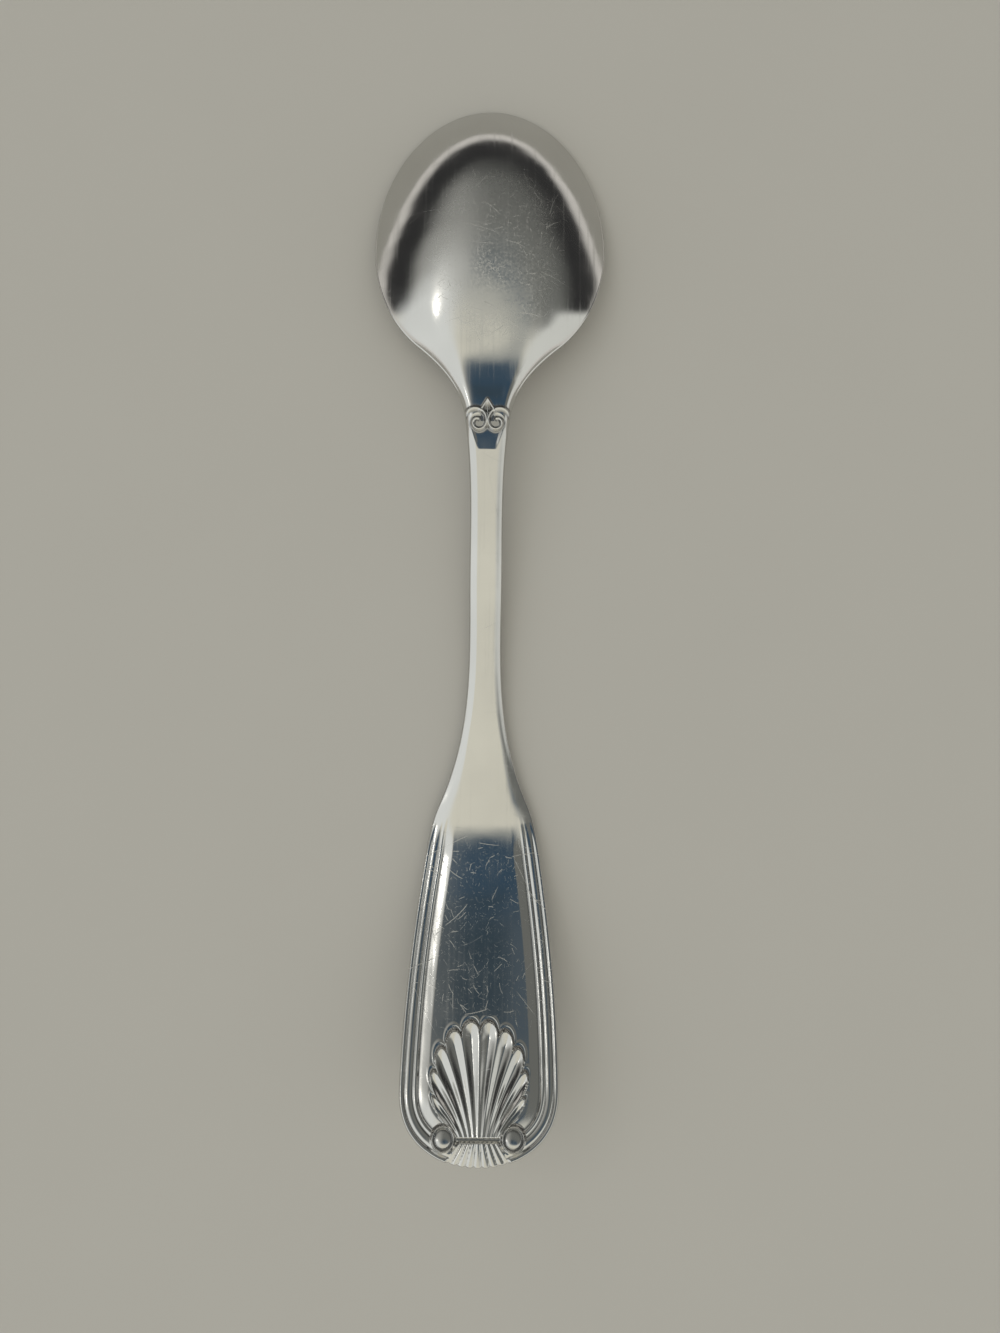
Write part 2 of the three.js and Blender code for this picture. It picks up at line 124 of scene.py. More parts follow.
# Handle, with places measured from the butt
HANDLE_WIDEST = 9.5
BUTT_SQUARENESS = 2.6
FLARE_AT = 46.0
FLARE_WIDTH = 12.5
FLARE_SLOPE = 0.43
SHOULDER_AT = 39.5
SHOULDER_WIDTH = 16.1
SHOULDER_SLOPE = 0.15
HANDLE_THICKNESS = 2.1
END_THICKNESS = 1.9
END_RISE = 12.3
END_CURL = 1.5
REST_FROM = 47.0
REST_TO = 43.0

# Thread border, from the edge inward
THREAD_WIDTHS = (0.75, 1.1, 0.65)
THREAD_CREST = 0.08
# Shares of the thread grooves' depth over which painted shade grows
GROOVE_SHADE = (0.55, 1.0)
PANEL_BEVEL = 1.4
BEVEL_ROUND = 1.15
HANDLE_BORDER = sum(THREAD_WIDTHS) + PANEL_BEVEL
BORDER_START = 57.0
THREAD_START = 44.0
THREAD_FULL = 38.0
PANEL_CROWN = 0.0035

# Heel ornament
SCROLL_SPREAD = 1.25
SCROLL_AT = 6.1
# Scroll from the stem's edge to its eye: turn, distance from the centre, slope per turn
SCROLL = (
    (0.06, 2.4, -1.0),
    (0.25, 1.9, -4.2),
    (0.5, 1.1, -0.9),
    (0.75, 1.05, -0.2),
    (1.0, 0.85, -1.2),
    (1.22, 0.45, -2.0),
)
SCROLL_LINE = 0.42
SCROLL_FIELD = 0.32
SCROLL_FIELD_RUN = 3.4
SCROLL_DIP = 2.9
SCROLL_DEPTH = 0.3
SCROLL_POINTS = 90
LEAF_AT = 2.75
LEAF_LENGTH = 1.7
LEAF_HALF = 1.05
LEAF_LINE = 0.3
VEIN_LENGTH = 3.0
VEIN_LINE = 0.26
VEIN_SHARE = 0.8
# Sunk field: its edge round the eye of a scroll, then its bounds from the leaf and from the eye
FIELD_EDGE = (1.35, 0.9)
FIELD_TOP = (0.2, 0.9)
FIELD_FOOT = (0.2, -0.6)
FIELD_LEVEL = 0.3
FIELD_LEAST = 0.9
# Dip under the scrolls: its foot from the eye, its start from the foot, and its half widths
DIP_FOOT = 1.0
DIP_START = (-1.6, -0.4)
DIP_HALF = (2.1, 1.25)
DIP_SIDE = 0.3
# Painted shade beside the raised lines of the heel: distance where it starts and where it is full
SCROLL_SHADE = (0.8, 0.35)

# Shell, volutes and reeded butt
SHELL_BASE = 3.4
SHELL_BASE_WIDTH = 5.6
SHELL_HEIGHT = 13.7
SHELL_WIDTH = 12.9
SHELL_OVAL = 14.2
SHELL_SWEEP = math.radians(125)
SHELL_FLUTES = 10
SHELL_CURL = 1.25
SHELL_SCOOP = 0.55
SHELL_WALL = (-0.05, 0.14)
SHELL_BASE_LIFT = 0.6
SCOOP_AT_BASE = 0.2
SCOOP_FULL = 0.6
# Painted shade in a thin ring just outside the edge of each lobe: its inner and outer ramps
LOBE_SHADE_IN = (0.05, -0.06)
LOBE_SHADE_OUT = (-0.2, -0.08)
SHELL_HALO = 0.05
HALO_AT = 0.55
HALO_LINE = 0.25
HALO_FADE = (0.3, 1.0)
# Search for the flute of a point: its first bound, the farthest place along it and the halvings
FLUTE_BOUND = 1.12
FLUTE_FARTHEST = 3.0
HALVINGS = 40
RIDGE_ROUND = 0.2
FLUTE_ROUND = 1.6
LOBE_RUN = 2.2
LOBE_ROUND = 1.7
VOLUTE_RADIUS = 1.55
VOLUTE_SPREAD = 4.5
VOLUTE_RISE = 0.6
# Shares of the volute's radius and rise
VOLUTE_EDGE = (1.08, 0.9)
VOLUTE_FLOOR = 0.25
BALL_RADIUS = 0.74
BALL_RISE = 0.9
LOOP_RADIUS = 0.9
LOOP_LINE = 0.17
REEDS = 9
REED_RISE = 0.22
REED_GROOVE = 0.13
REED_FALL = 0.55
REED_BEND = 1.3
REED_LEAST = 0.6
REED_ROUND = 0.96
REED_SIDE = 0.25
REED_EASE = 0.1
# Painted shade down the sides of each reed, and how it bends
REED_SHADE = 0.7
REED_SHADE_BEND = 1.2
BASE_GROOVE = 0.22
BASE_EASE = (0.15, -0.05)
BASE_END = 0.5
REED_BASE_WIDTH = 5.2
REED_END_WIDTH = 9.6
REED_START = 3.0
REED_NOTCH = 0.2
NOTCH_DEPTH = 1.2

# Sections of the handle, from the butt
SHOULDERS_FROM = 52.0
PANEL_FROM = 37.0
SHELL_FROM = 17.5

# Grid steps, and the runs over which columns turn even and rows turn square to the outline
EVEN_RUN = 4.0
SQUARE_RUN = 3.5
BORDER_MOST = 0.9
TOP_COLUMNS = 161
BORDER_COLUMNS = 42
END_COLUMNS = 221
WALL_COLUMNS = 8
TIP_ROWS = 110
BOWL_ROWS = 90
HEEL_ROWS = 150
STEM_ROWS = 110
SHOULDER_ROWS = 110
PANEL_ROWS = 90
END_SIDE_ROWS = 60
END_ROUND_ROWS = 150
FINE_STEPS = 4000
WELD = 1e-5
TINY = 1e-6

# Steel, in metres. Rubbed ovals: middle, weights across and along, and edge
BOWL_RUB = ((0.001, 0.049), (5200.0, 2600.0), (0.75, 0.05))
SHELL_HAZE = ((0.0, -0.069), (23000.0, 14000.0), (1.1, 0.9))
PANEL_RUB = ((-0.034, -0.042), (-0.064, -0.058))
RUB_LEAST = 0.15
# Layers of scratches: cell, width, length, bend and offset
LONGEST_MARKS = (0.009, 0.00006, 0.0088, 0.35, 2.67)
LONG_MARKS = (0.005, 0.00007, 0.0048, 0.8, 0.31)
SHORT_MARKS = (0.0017, 0.00006, 0.0016, 0.9, 1.73)
FINE_MARKS = (0.0009, 0.00006, 0.0008, 0.8, 4.19)
FINEST_MARKS = (0.0005, 0.00004, 0.00042, 0.5, 7.43)
SHORT_SHARE = 0.8
FINE_ON_BOWL = 0.54
FINE_ON_PANEL = 0.33
COARSE_PATCH = (0.28, 0.55)
FINE_PATCH = (0.28, 0.52)
# One scratch: core of its width, reach and fade as shares of its length, and range of strength
MARK_CORE = 0.3
MARK_REACH = 0.55
MARK_FADE = 0.15
MARK_STRENGTH = (0.05, 0.6)
OFFSET_SHARE = 0.7
# Noises: scale and detail
PATCHES = (170.0, 2.0)
SMUDGES = (190.0, 4.0)
GRAIN = (2600.0, 2.0)
WAVES = (170.0, 1.0)
SHADES = (60.0, 3.0)
BRUSHING = (1.0, 2.0)
BRUSHING_STRETCH = (2600.0, 45.0, 0.0)
MOTTLE = (40.0, 3.0)
# Range of each noise that shows, and what each kind of wear adds to the roughness
SHADE_RANGE = (0.35, 0.65)
SMUDGE_RANGE = (0.35, 0.75)
GRAIN_RANGE = (0.3, 0.75)
BRUSHING_RANGE = (0.5, 0.8)
# Range of the groove share over which the painted shade grows to full strength
RECESS_SHADE_RANGE = (0.2, 1.0)
SMUDGE_ROUGH = 0.05
BOWL_ROUGH = 0.19
GRAIN_ROUGH = 0.12
SHELL_ROUGH = 0.03
BRUSHING_ROUGH = 0.09
GROOVE_ROUGH = 0.15
WORN_SHARE = 0.93
GRAIN_HEIGHT = 0.15
BUMP_HEIGHT = 0.00005
BUMP_STRENGTH = 0.12

# Surround: bounds of its areas, as parts of a direction
HIGH_RIGHT = (0.04, 0.08)
HIGH_BLUE = (0.35, 0.27)
FAR_RISE = (0.28, 0.6)
FAR_HIGH = (0.86, 0.91)
FAR_LEFT = (-0.02, -0.4)
FAR_LEFT_RISE = (0.3, 0.55)
NEAR_RIGHT = (0.25, 0.8)
NEAR_EDGE = (0.18, 0.05)
NEAR_LEAN = 0.12
RIGHT_ACROSS = (0.72, 0.88)
RIGHT_ALONG = (0.22, 0.13)
LEFT_ACROSS = (-0.26, -0.48)
LEFT_EDGE = (0.78, 1.06)
LEFT_LEAN = 0.9
HORIZON = (0.13, 0.05)

# Stage, in metres
FLOOR_HALF = 4.0
FLOOR_DIM = 0.97
FLOOR_ROUGHNESS = 0.7
KEY_DISTANCE = 0.9
KEY_AZIMUTH = math.radians(159)
KEY_ELEVATION = math.radians(48)
KEY_LENGTH = 0.09
KEY_WIDTH = 0.06
KEY_TURN = math.radians(-10)
CAMERA_PLACE = (0.001996, -0.031062, 0.147422)
CAMERA_TURN = (math.radians(7.533), math.radians(-0.158), math.radians(0.572))
CAMERA_CLIP = 0.01
PHOTO_HEIGHT = 1333
FOCAL_PIXELS = 1001
SENSOR = 36.0


def mix(a, b, share):
    """Straight blend from a to b."""
    return a + (b - a) * share


def ramp(low, high, value):
    """Smooth step from 0 at low to 1 at high."""
    share = np.clip((value - low) / (high - low), 0.0, 1.0)
    return share * share * (3.0 - 2.0 * share)


def fold(place):
    """Place within its repeat, from -1 at its start to 1 at its end."""
    return 2.0 * (place - np.floor(place)) - 1.0


def cubic(stations, s):
    """Cubic curve through stations of place, value and slope, one span at a time."""
    place, value, slope = np.array(stations, float).T
    span = np.clip(np.searchsorted(place, s, side="right") - 1, 0, len(place) - 2)
    width = place[span + 1] - place[span]
    u = (s - place[span]) / width
    rise = (value[span + 1] - value[span]) * u * u * (3.0 - 2.0 * u)
    bend = slope[span] * (1.0 - u) - slope[span + 1] * u
    return value[span] + rise + width * u * (1.0 - u) * bend


def dome(level, fullness):
    """Height of a full dome over a level that is 0 at the rim and 1 at the crown."""
    return (1.0 + fullness) * level - fullness * level * level


def undome(height, fullness):
    """Level at which the dome has a height."""
    b = 1.0 + fullness
    return 2.0 * height / (b + np.sqrt(b * b - 4.0 * fullness * height))


class Blank:
    """Outline, side profile and cross-section of the stamped blank, in millimetres."""

    def __init__(self, sizes):
        self.length = sizes.length / MM
        self.bowl_half = sizes.bowl_width / MM / 2
        self.bowl_height = sizes.bowl_height / MM
        self.handle_half = sizes.handle_width / MM / 2
        self.edge = sizes.edge_round / MM
        self.thread_depth = sizes.thread_depth / MM
        self.shell_rise = sizes.shell_rise / MM
        self.scroll_rise = sizes.scroll_rise / MM
        self.heel_start = NECK - HEEL_LEAD
        self.stem_start = self.heel_start + HEEL_LENGTH
        self.shoulders_start = self.length - SHOULDERS_FROM
        self.panel_start = self.length - PANEL_FROM
        self.shell_start = self.length - SHELL_FROM
        self.widest_at = self.length - HANDLE_WIDEST
        self.rest_start = self.length - REST_FROM
        self.rest_end = self.length - REST_TO
        self.oval_back = NECK - NECK_RUNOUT - BOWL_WIDEST
        self.oval_end = BOWL_WIDEST + OVAL_SHARE * self.oval_back
        end_half = float(self.oval(np.array(self.oval_end)))
        end_slope = -self.bowl_half**2 * OVAL_SHARE / self.oval_back / end_half
        self.outline = (
            (self.oval_end, end_half, end_slope),
            (NECK + HEEL_AT, HEEL_WIDTH / 2, HEEL_FLARE),
            (STEM_NARROWEST, sizes.stem_width / MM / 2, 0.0),
            (self.length - FLARE_AT, FLARE_WIDTH / 2, FLARE_SLOPE),
            (self.length - SHOULDER_AT, SHOULDER_WIDTH / 2, SHOULDER_SLOPE),
            (self.widest_at, self.handle_half, 0.0),
        )
        widest = np.array(BOWL_WIDEST)
        start = np.array(self.stem_start)
        top = float(self.under(widest)) + self.bowl_height
        foot = float(self.bar(start))
        self.nape = (
            (BOWL_WIDEST, top, float(self.slope(self.under, widest))),
            *((NECK + place, mix(top, foot, share), slope) for place, share, slope in NAPE),
            (self.stem_start, foot, float(self.slope(self.bar, start))),
        )

    @staticmethod
    def slope(profile, s, step=0.01):
        """Slope of a profile by a small step to each side."""
        return (profile(s + step) - profile(s - step)) / (2.0 * step)

    def oval(self, s):
        """Half width of the two half ellipses that meet at the widest place of the bowl."""
        reach = np.where(s < BOWL_WIDEST, BOWL_WIDEST, self.oval_back)
        u = (s - BOWL_WIDEST) / reach
        return self.bowl_half * np.sqrt(np.maximum(0.0, 1.0 - u * u))

    def half_width(self, s):
        """Half width of the outline: the oval, the cubic sides, then the squared end of the handle."""
        sides = cubic(self.outline, np.clip(s, self.oval_end, self.widest_at))
        u = np.clip((s - self.widest_at) / HANDLE_WIDEST, 0.0, 1.0)
        butt = self.handle_half * np.sqrt(1.0 - u**BUTT_SQUARENESS)
        return np.where(s <= self.oval_end, self.oval(s), np.where(s >= self.widest_at, butt, sides))

    def under(self, s):
        """Underside: the rim's sweep, the arch of the stem, the flat rest and the end that curls up."""
        stem = NECK_RISE * ((self.rest_start - s) / (self.rest_start - NECK)) ** 2
        rim = NECK_RISE * (np.maximum(s, 0.0) / NECK) ** RIM_SWEEP
        overlap = np.maximum(0.0, NECK_EASE - np.abs(rim - stem))
        arch = np.minimum(rim, stem) - overlap**2 / (4.0 * NECK_EASE)
        curl = END_RISE * (np.maximum(0.0, s - self.rest_end) / REST_TO) ** END_CURL
        return np.where(s >= self.rest_start, curl, arch)

    def thickness(self, s):
        """Thickness of the bar, which thins towards the handle and again to the butt."""
        along = mix(STEM_THICKNESS, HANDLE_THICKNESS, ramp(self.stem_start, self.rest_start, s))
        return mix(along, END_THICKNESS, ramp(self.rest_end, self.length, s))

    def bar(self, s):
        """Middle of the back along the stem and handle."""
        return self.under(s) + self.thickness(s)

    def crown(self, s):
        """Middle of the back: the dome of the bowl, the nape that falls to the drop, then the bar."""
        level = 1.0 - (1.0 - np.minimum(s, BOWL_WIDEST) / BOWL_WIDEST) ** 2
        front = self.under(s) + RIM_EDGE + (self.bowl_height - RIM_EDGE) * dome(level, BOWL_FULLNESS)
        nape = cubic(self.nape, np.clip(s, BOWL_WIDEST, self.stem_start))
        return np.where(s >= self.stem_start, self.bar(s), np.where(s > BOWL_WIDEST, nape, front))

    def border_width(self, s):
        """Width of the stem's bevel, which widens into the thread border of the handle."""
        start = self.length - BORDER_START
        return mix(STEM_BEVEL, HANDLE_BORDER, ramp(start, self.panel_start, s))

    def threads(self, inward):
        """Half-round threads side by side, then a rounded bevel up to the panel."""
        edges = np.concatenate([[0.0], np.cumsum(THREAD_WIDTHS)])
        band = np.clip(np.searchsorted(edges, inward, side="right") - 1, 0, len(THREAD_WIDTHS) - 1)
        half = (edges[band + 1] - edges[band]) / 2
        v = np.clip((inward - edges[band] - half) / half, -1.0, 1.0)
        bead = -self.thread_depth + (self.thread_depth - THREAD_CREST) * np.sqrt(1.0 - v * v)
        share = np.clip((inward - edges[-1]) / PANEL_BEVEL, 0.0, 1.0)
        bevel = -self.thread_depth * (1.0 - share) ** BEVEL_ROUND
        return np.where(inward < edges[-1], bead, bevel)

    def thread_share(self, s):
        """How far the threads have grown out of the plain bevel."""
        return ramp(self.length - THREAD_START, self.length - THREAD_FULL, s)

    def border(self, inward, s):
        """Height of the border against the flat of the back, at a distance inward from the edge."""
        place = np.clip(inward / self.border_width(s), 0.0, 1.0) * HANDLE_BORDER
        bevel = -STEM_EDGE_DROP * (1.0 - place / HANDLE_BORDER) ** STEM_EDGE_ROUND
        return mix(bevel, self.threads(place), self.thread_share(s))

    def groove(self, inward, s):
        """How deep a place lies in the grooves of the thread border, from 0 to 1: the share of painted
        shade there.
        """
        place = np.clip(inward / self.border_width(s), 0.0, 1.0) * HANDLE_BORDER
        low = -self.threads(place) / self.thread_depth
        return ramp(*GROOVE_SHADE, low) * self.thread_share(s)

    def stem_share(self, s):
        """0 on the bowl and 1 on the stem."""
        return ramp(self.heel_start, self.stem_start, s)

    def roundness(self, s):
        """Power of the back's cross-section, which grows as the outline narrows to the neck."""
        half = np.maximum(self.half_width(np.maximum(s, BOWL_WIDEST)), TINY)
        return BOWL_ROUND * (self.bowl_half / half) ** NECK_FLATNESS

    @staticmethod
    def fullness(level, s):
        """Fullness of the dome: all of it towards the tip, none at the sides, then back at the neck."""
        ahead = np.maximum(0.0, 1.0 - s / BOWL_WIDEST) ** 2
        tip = np.minimum(1.0, ahead / np.maximum(1.0 - level, TINY))
        return BOWL_FULLNESS * np.where(s < BOWL_WIDEST, tip, ramp(*NECK_FULLNESS, s))

    def back(self, x, s):
        """Height of the back: a dome over the bowl, blended into the flat and border of the bar."""
        half = np.maximum(self.half_width(s), TINY)
        base = self.under(s) + RIM_EDGE
        depth = self.bowl_height - RIM_EDGE
        t = np.minimum(1.0, np.abs(x) / half)
        height = np.clip((self.crown(s) - base) / depth, 0.0, 1.0)
        along = np.where(s < BOWL_WIDEST, BOWL_FULLNESS, self.fullness(0.0, s))
        level = undome(height, along) * (1.0 - t ** self.roundness(s))
        bowl = base + depth * dome(level, self.fullness(level, s))
        stem = self.bar(s) + self.border(half - np.abs(x), s) - self.panel_fall(x, s)
        return mix(bowl, stem, self.stem_share(s))

    def panel_fall(self, x, s):
        """How far the back of the handle falls from its middle: a flat parabola across the panel."""
        across = np.minimum(np.abs(x), self.handle_half - HANDLE_BORDER)
        return PANEL_CROWN * across**2 * ramp(self.length - BORDER_START, self.panel_start, s)

    def front(self, x, s):
        """Height of the underside: the hollow of the bowl inside its rim, then the mirrored border."""
        reach = np.where(s < BOWL_WIDEST, BOWL_WIDEST - RIM_LAND, HOLLOW_BACK)
        level = 1.0 - ((s - BOWL_WIDEST) / reach) ** 2 - (x / (self.bowl_half - RIM_LAND)) ** 2
        soft = (level + np.sqrt(level * level + HOLLOW_EASE**2)) / 2
        depth = (self.bowl_height - BOWL_WALL) * (1.0 - HOLLOW_SHOAL * ramp(BOWL_WIDEST, NECK, s))
        soft = np.clip(soft, 0.0, 1.0)
        hollow = depth * dome(soft, self.fullness(soft, s)) * ramp(-HOLLOW_FADE, 0.0, level)
        edge = self.border(self.half_width(s) - np.abs(x), s)
        return self.under(s) + hollow * (s < NECK) - edge * self.stem_share(s)


# Ornament, each a height over (x, s) against the flat of the back, with a share of painted shade for its
# hollows


def soft_line(away, half):
    """Rounded line: one minus the square of the distance over the half width, squared again."""
    return np.clip(1.0 - (away / half) ** 2, 0.0, 1.0) ** 2


def segment(x, s, start, end):
    """Distance of points from a straight stretch between two places."""
    run = (end[0] - start[0], end[1] - start[1])
    length = run[0] ** 2 + run[1] ** 2
    share = np.clip(((x - start[0]) * run[0] + (s - start[1]) * run[1]) / length, 0.0, 1.0)
    return np.hypot(x - start[0] - share * run[0], s - start[1] - share * run[1])


def heel_ornament(blank, x, s):
    """Two scrolls that wind inward from the stem's edges, under a pointed leaf with a vein.

    A scroll is a curve of turn and distance from its centre, and its height is a rounded line over
    the distance from the nearest point of the curve. The field inside it is sunk.
    """
    far = np.abs(x)
    turn = np.linspace(SCROLL[0][0], SCROLL[-1][0], SCROLL_POINTS)
    reach = cubic(SCROLL, turn)
    line_x = SCROLL_SPREAD + reach * np.cos(2.0 * math.pi * turn)
    line_s = NECK + SCROLL_AT - reach * np.sin(2.0 * math.pi * turn)
    away = np.hypot(far[..., None] - line_x, s[..., None] - line_s).min(-1)
    scroll = soft_line(away, SCROLL_LINE)
    tip = NECK + LEAF_AT
    blade = soft_line(segment(far, s, (0.0, tip), (LEAF_HALF, tip + LEAF_LENGTH)), LEAF_LINE)
    vein = soft_line(segment(far, s, (0.0, tip + LEAF_LINE), (0.0, tip + VEIN_LENGTH)), VEIN_LINE)
    line = np.maximum(np.maximum(scroll, blade), VEIN_SHARE * vein)
    eye = NECK + SCROLL_AT
    centre = np.hypot(far - SCROLL_SPREAD, s - eye)
    below = ramp(tip + FIELD_TOP[0], tip + FIELD_TOP[1], s - far * LEAF_LENGTH / LEAF_HALF)
    between = below * ramp(eye + FIELD_FOOT[0], eye + FIELD_FOOT[1], s) * (far < SCROLL_SPREAD)
    field = np.maximum(ramp(*FIELD_EDGE, centre), between)
    shallow = np.clip((s - tip) / SCROLL_FIELD_RUN - FIELD_LEVEL, 0.0, FIELD_LEAST)
    foot = eye + DIP_FOOT
    dip = np.clip((foot - s) / SCROLL_DIP + 1.0, 0.0, 1.0)
    dip = dip * ramp(foot + DIP_START[0], foot + DIP_START[1], s)
    dip = dip * ramp(DIP_SIDE, -DIP_SIDE, far - mix(*DIP_HALF, (s - foot) / SCROLL_DIP))
    sunk = np.maximum(SCROLL_FIELD * field * (1.0 - shallow), SCROLL_DEPTH * dip)
    rise = mix(-sunk, blank.scroll_rise, line)
    # The second value is painted shade in the sunk field and beside the lines
    return rise, np.maximum(field, ramp(*SCROLL_SHADE, away)) * (1.0 - line)


def shell_places(blank, x, s):
    """Flute and place along it for each point of the shell.

    Flutes run from a straight base to an oval, and bend outward by a power of the place along them.
    The flute is found by halving: across the shell, x grows with the flute at every s.
    """
    base = blank.length - SHELL_BASE
    centre = base - SHELL_HEIGHT + SHELL_OVAL / 2
    far = np.abs(x)

    def along(side):
        end_s = centre - SHELL_OVAL / 2 * np.cos(SHELL_SWEEP * side)
        share = np.clip((base - s) / (base - end_s), 0.0, FLUTE_FARTHEST)
        end_x = SHELL_WIDTH / 2 * np.sin(SHELL_SWEEP * side)
        return mix(side * SHELL_BASE_WIDTH / 2, end_x, share**SHELL_CURL), share, base - end_s

    low = np.zeros_like(x)
    high = np.full_like(x, FLUTE_BOUND)
    for _ in range(HALVINGS):
        middle = (low + high) / 2
        short = along(middle)[0] < far
        low = np.where(short, middle, low)
        high = np.where(short, high, middle)
    side = (low + high) / 2
    _, share, reach = along(side)
    return side, share, reach


def shell_ornament(blank, x, s):
    """Scooped flutes with ridges between them, each ending in a round lobe, and a groove at the base."""
    side, share, reach = shell_places(blank, x, s)
    v = fold(side * SHELL_FLUTES / 2)
    flute_half = SHELL_SWEEP * SHELL_OVAL / 2 / SHELL_FLUTES
    length = np.hypot(reach, SHELL_WIDTH / 2 * np.sin(SHELL_SWEEP * side))
    lobe = 1.0 - np.sqrt(np.clip(1.0 - v * v, 0.0, 1.0))
    inside = length * (1.0 - share) - flute_half * lobe
    beside = (1.0 - side) * SHELL_FLUTES * flute_half
    base_near = blank.length - SHELL_BASE - s
    within = np.minimum(np.minimum(inside, beside), base_near)
    wall = ramp(*SHELL_WALL, within)
    lift = blank.shell_rise * mix(SHELL_BASE_LIFT, 1.0, np.clip(share, 0.0, 1.0))
    ridge = np.sqrt((1.0 - np.abs(v)) ** 2 + RIDGE_ROUND**2) - RIDGE_ROUND
    profile = 1.0 - (1.0 - ridge) ** FLUTE_ROUND
    plump = 1.0 - (1.0 - np.clip(inside / LOBE_RUN, 0.0, 1.0)) ** LOBE_ROUND
    depth = SHELL_SCOOP * mix(SCOOP_AT_BASE, 1.0, ramp(0.0, SCOOP_FULL, share))
    rise = wall * (lift - depth * profile * plump)
    # Painted shade in a thin ring round the edge of each lobe
    hollow = ramp(*LOBE_SHADE_IN, within) * ramp(*LOBE_SHADE_OUT, within)
    halo = SHELL_HALO * soft_line(within + HALO_AT, HALO_LINE) * ramp(*HALO_FADE, base_near)
    return rise, hollow, wall, halo


def volute_ornament(blank, x, s):
    """Round bosses at the ends of the base, each a ball inside a ring that opens outward."""
    across = np.abs(x) - VOLUTE_SPREAD
    along = blank.length - SHELL_BASE - s
    radius = np.hypot(across, along) / VOLUTE_RADIUS
    ball = np.sqrt(np.clip(1.0 - (radius / BALL_RADIUS) ** 2, 0.0, 1.0))
    loop = soft_line(radius - LOOP_RADIUS, LOOP_LINE)
    body = ramp(*VOLUTE_EDGE, radius)
    form = np.maximum(BALL_RISE * ball, loop)
    # The second value is painted shade on the volute's floor between the ball and the ring
    return VOLUTE_RISE * mix(VOLUTE_FLOOR, 1.0, form), (1.0 - form) * body, body


def reed_span(x, half):
    """Place within a reed, from -1 to 1, and how far a point lies inside the fan of reeds."""
    return fold((x / half + 1.0) / 2 * REEDS), ramp(0.0, REED_SIDE, half - np.abs(x))


def reed_ornament(blank, x, s, inward):
    """Rounded reeds that fan out from a straight groove to the edge of the butt."""
    from_butt = blank.length - s
    fan = np.clip(1.0 - from_butt / REED_START, 0.0, 1.0)
    v, inside = reed_span(x, mix(REED_BASE_WIDTH, REED_END_WIDTH, fan) / 2)
    top = np.sqrt(1.0 - REED_ROUND * v * v)
    body = inside * ramp(REED_START + REED_EASE, REED_START - REED_EASE, from_butt)
    fall = np.clip(1.0 - inward / REED_START, 0.0, 1.0)
    rise = mix(-REED_GROOVE, REED_RISE, top) * mix(1.0, REED_LEAST, fall)
    # The second value is painted shade down the sides of each reed
    return rise - REED_FALL * fall**REED_BEND, REED_SHADE * (1.0 - top) ** REED_SHADE_BEND, body


def reed_notch(blank, x, s):
    """How far the outline of the butt steps back between the ends of the reeds."""
    v, inside = reed_span(x, REED_END_WIDTH / 2)
    return REED_NOTCH * v**4 * inside * ramp(blank.length - REED_START, blank.length, s)


def end_relief(blank, x, s, inward):
    """Height over the end of the handle: threads round the edge, with the ornament laid over them, and
    the share of painted shade in their hollows.
    """
    height = blank.threads(inward)
    hollow = blank.groove(inward, np.full_like(s, blank.length))
    reed, reed_hollow, reed_body = reed_ornament(blank, x, s, inward)
    height = mix(height, reed, reed_body)
    hollow = mix(hollow, reed_hollow, reed_body)
    from_butt = blank.length - s
    slot = ramp(REED_START - REED_EASE, REED_START + REED_EASE, from_butt)
    slot = slot * ramp(SHELL_BASE + BASE_EASE[0], SHELL_BASE + BASE_EASE[1], from_butt)
    slot = slot * ramp(VOLUTE_SPREAD, VOLUTE_SPREAD - BASE_END, np.abs(x))
    height = mix(height, -BASE_GROOVE, slot)
    # The groove at the base of the shell takes full painted shade
    hollow = np.maximum(hollow, slot)
    shell, shell_hollow, shell_body, halo = shell_ornament(blank, x, s)
    height = mix(height + halo, shell, shell_body)
    hollow = np.maximum(hollow * (1.0 - shell_body), shell_hollow)
    volute, volute_hollow, volute_body = volute_ornament(blank, x, s)
    height = mix(height, volute, volute_body)
    hollow = mix(hollow, volute_hollow, volute_body)
    return height, hollow


# Closed sections: rows of rings that start in the middle of the left wall and run over the back


def wall_insets(edge):
    """Shares and insets of a bullnose wall, from the back to the underside: half an ellipse."""
    share = (np.arange(WALL_COLUMNS) + 1.0) / (WALL_COLUMNS + 1.0)
    return share, edge * (1.0 - np.sqrt(1.0 - (2.0 * share - 1.0) ** 2))


def ring(back, front, right, left):
    """Joins the back, right wall, underside and left wall of every row into one ring of points."""
    half = WALL_COLUMNS // 2
    parts = [left[:, half - 1 :: -1], back, right, front[:, ::-1], left[:, : half - 1 : -1]]
    return np.concatenate(parts, axis=1)


def closed_rings(blank, x, s, top, bottom, hollow, place):
    """Rings of points and of painted shade in the grooves: the two faces, joined at both edges by
    bullnose walls.

    place gives the half width and the station of the outline at an inset.
    """
    share, inset = wall_insets(blank.edge)
    wall_x, wall_s = place(inset[None, :])
    right_z = mix(top[:, -1:], bottom[:, -1:], share)
    left_z = mix(top[:, :1], bottom[:, :1], share)
    wall_s = np.broadcast_to(wall_s, right_z.shape)
    points = ring(
        np.stack([x, s, top], -1),
        np.stack([x, s, bottom], -1),
        np.stack([wall_x, wall_s, right_z], -1),
        np.stack([-wall_x, wall_s, left_z], -1),
    )
    plain = np.zeros(right_z.shape)
    return points, ring(hollow, hollow, plain, plain)


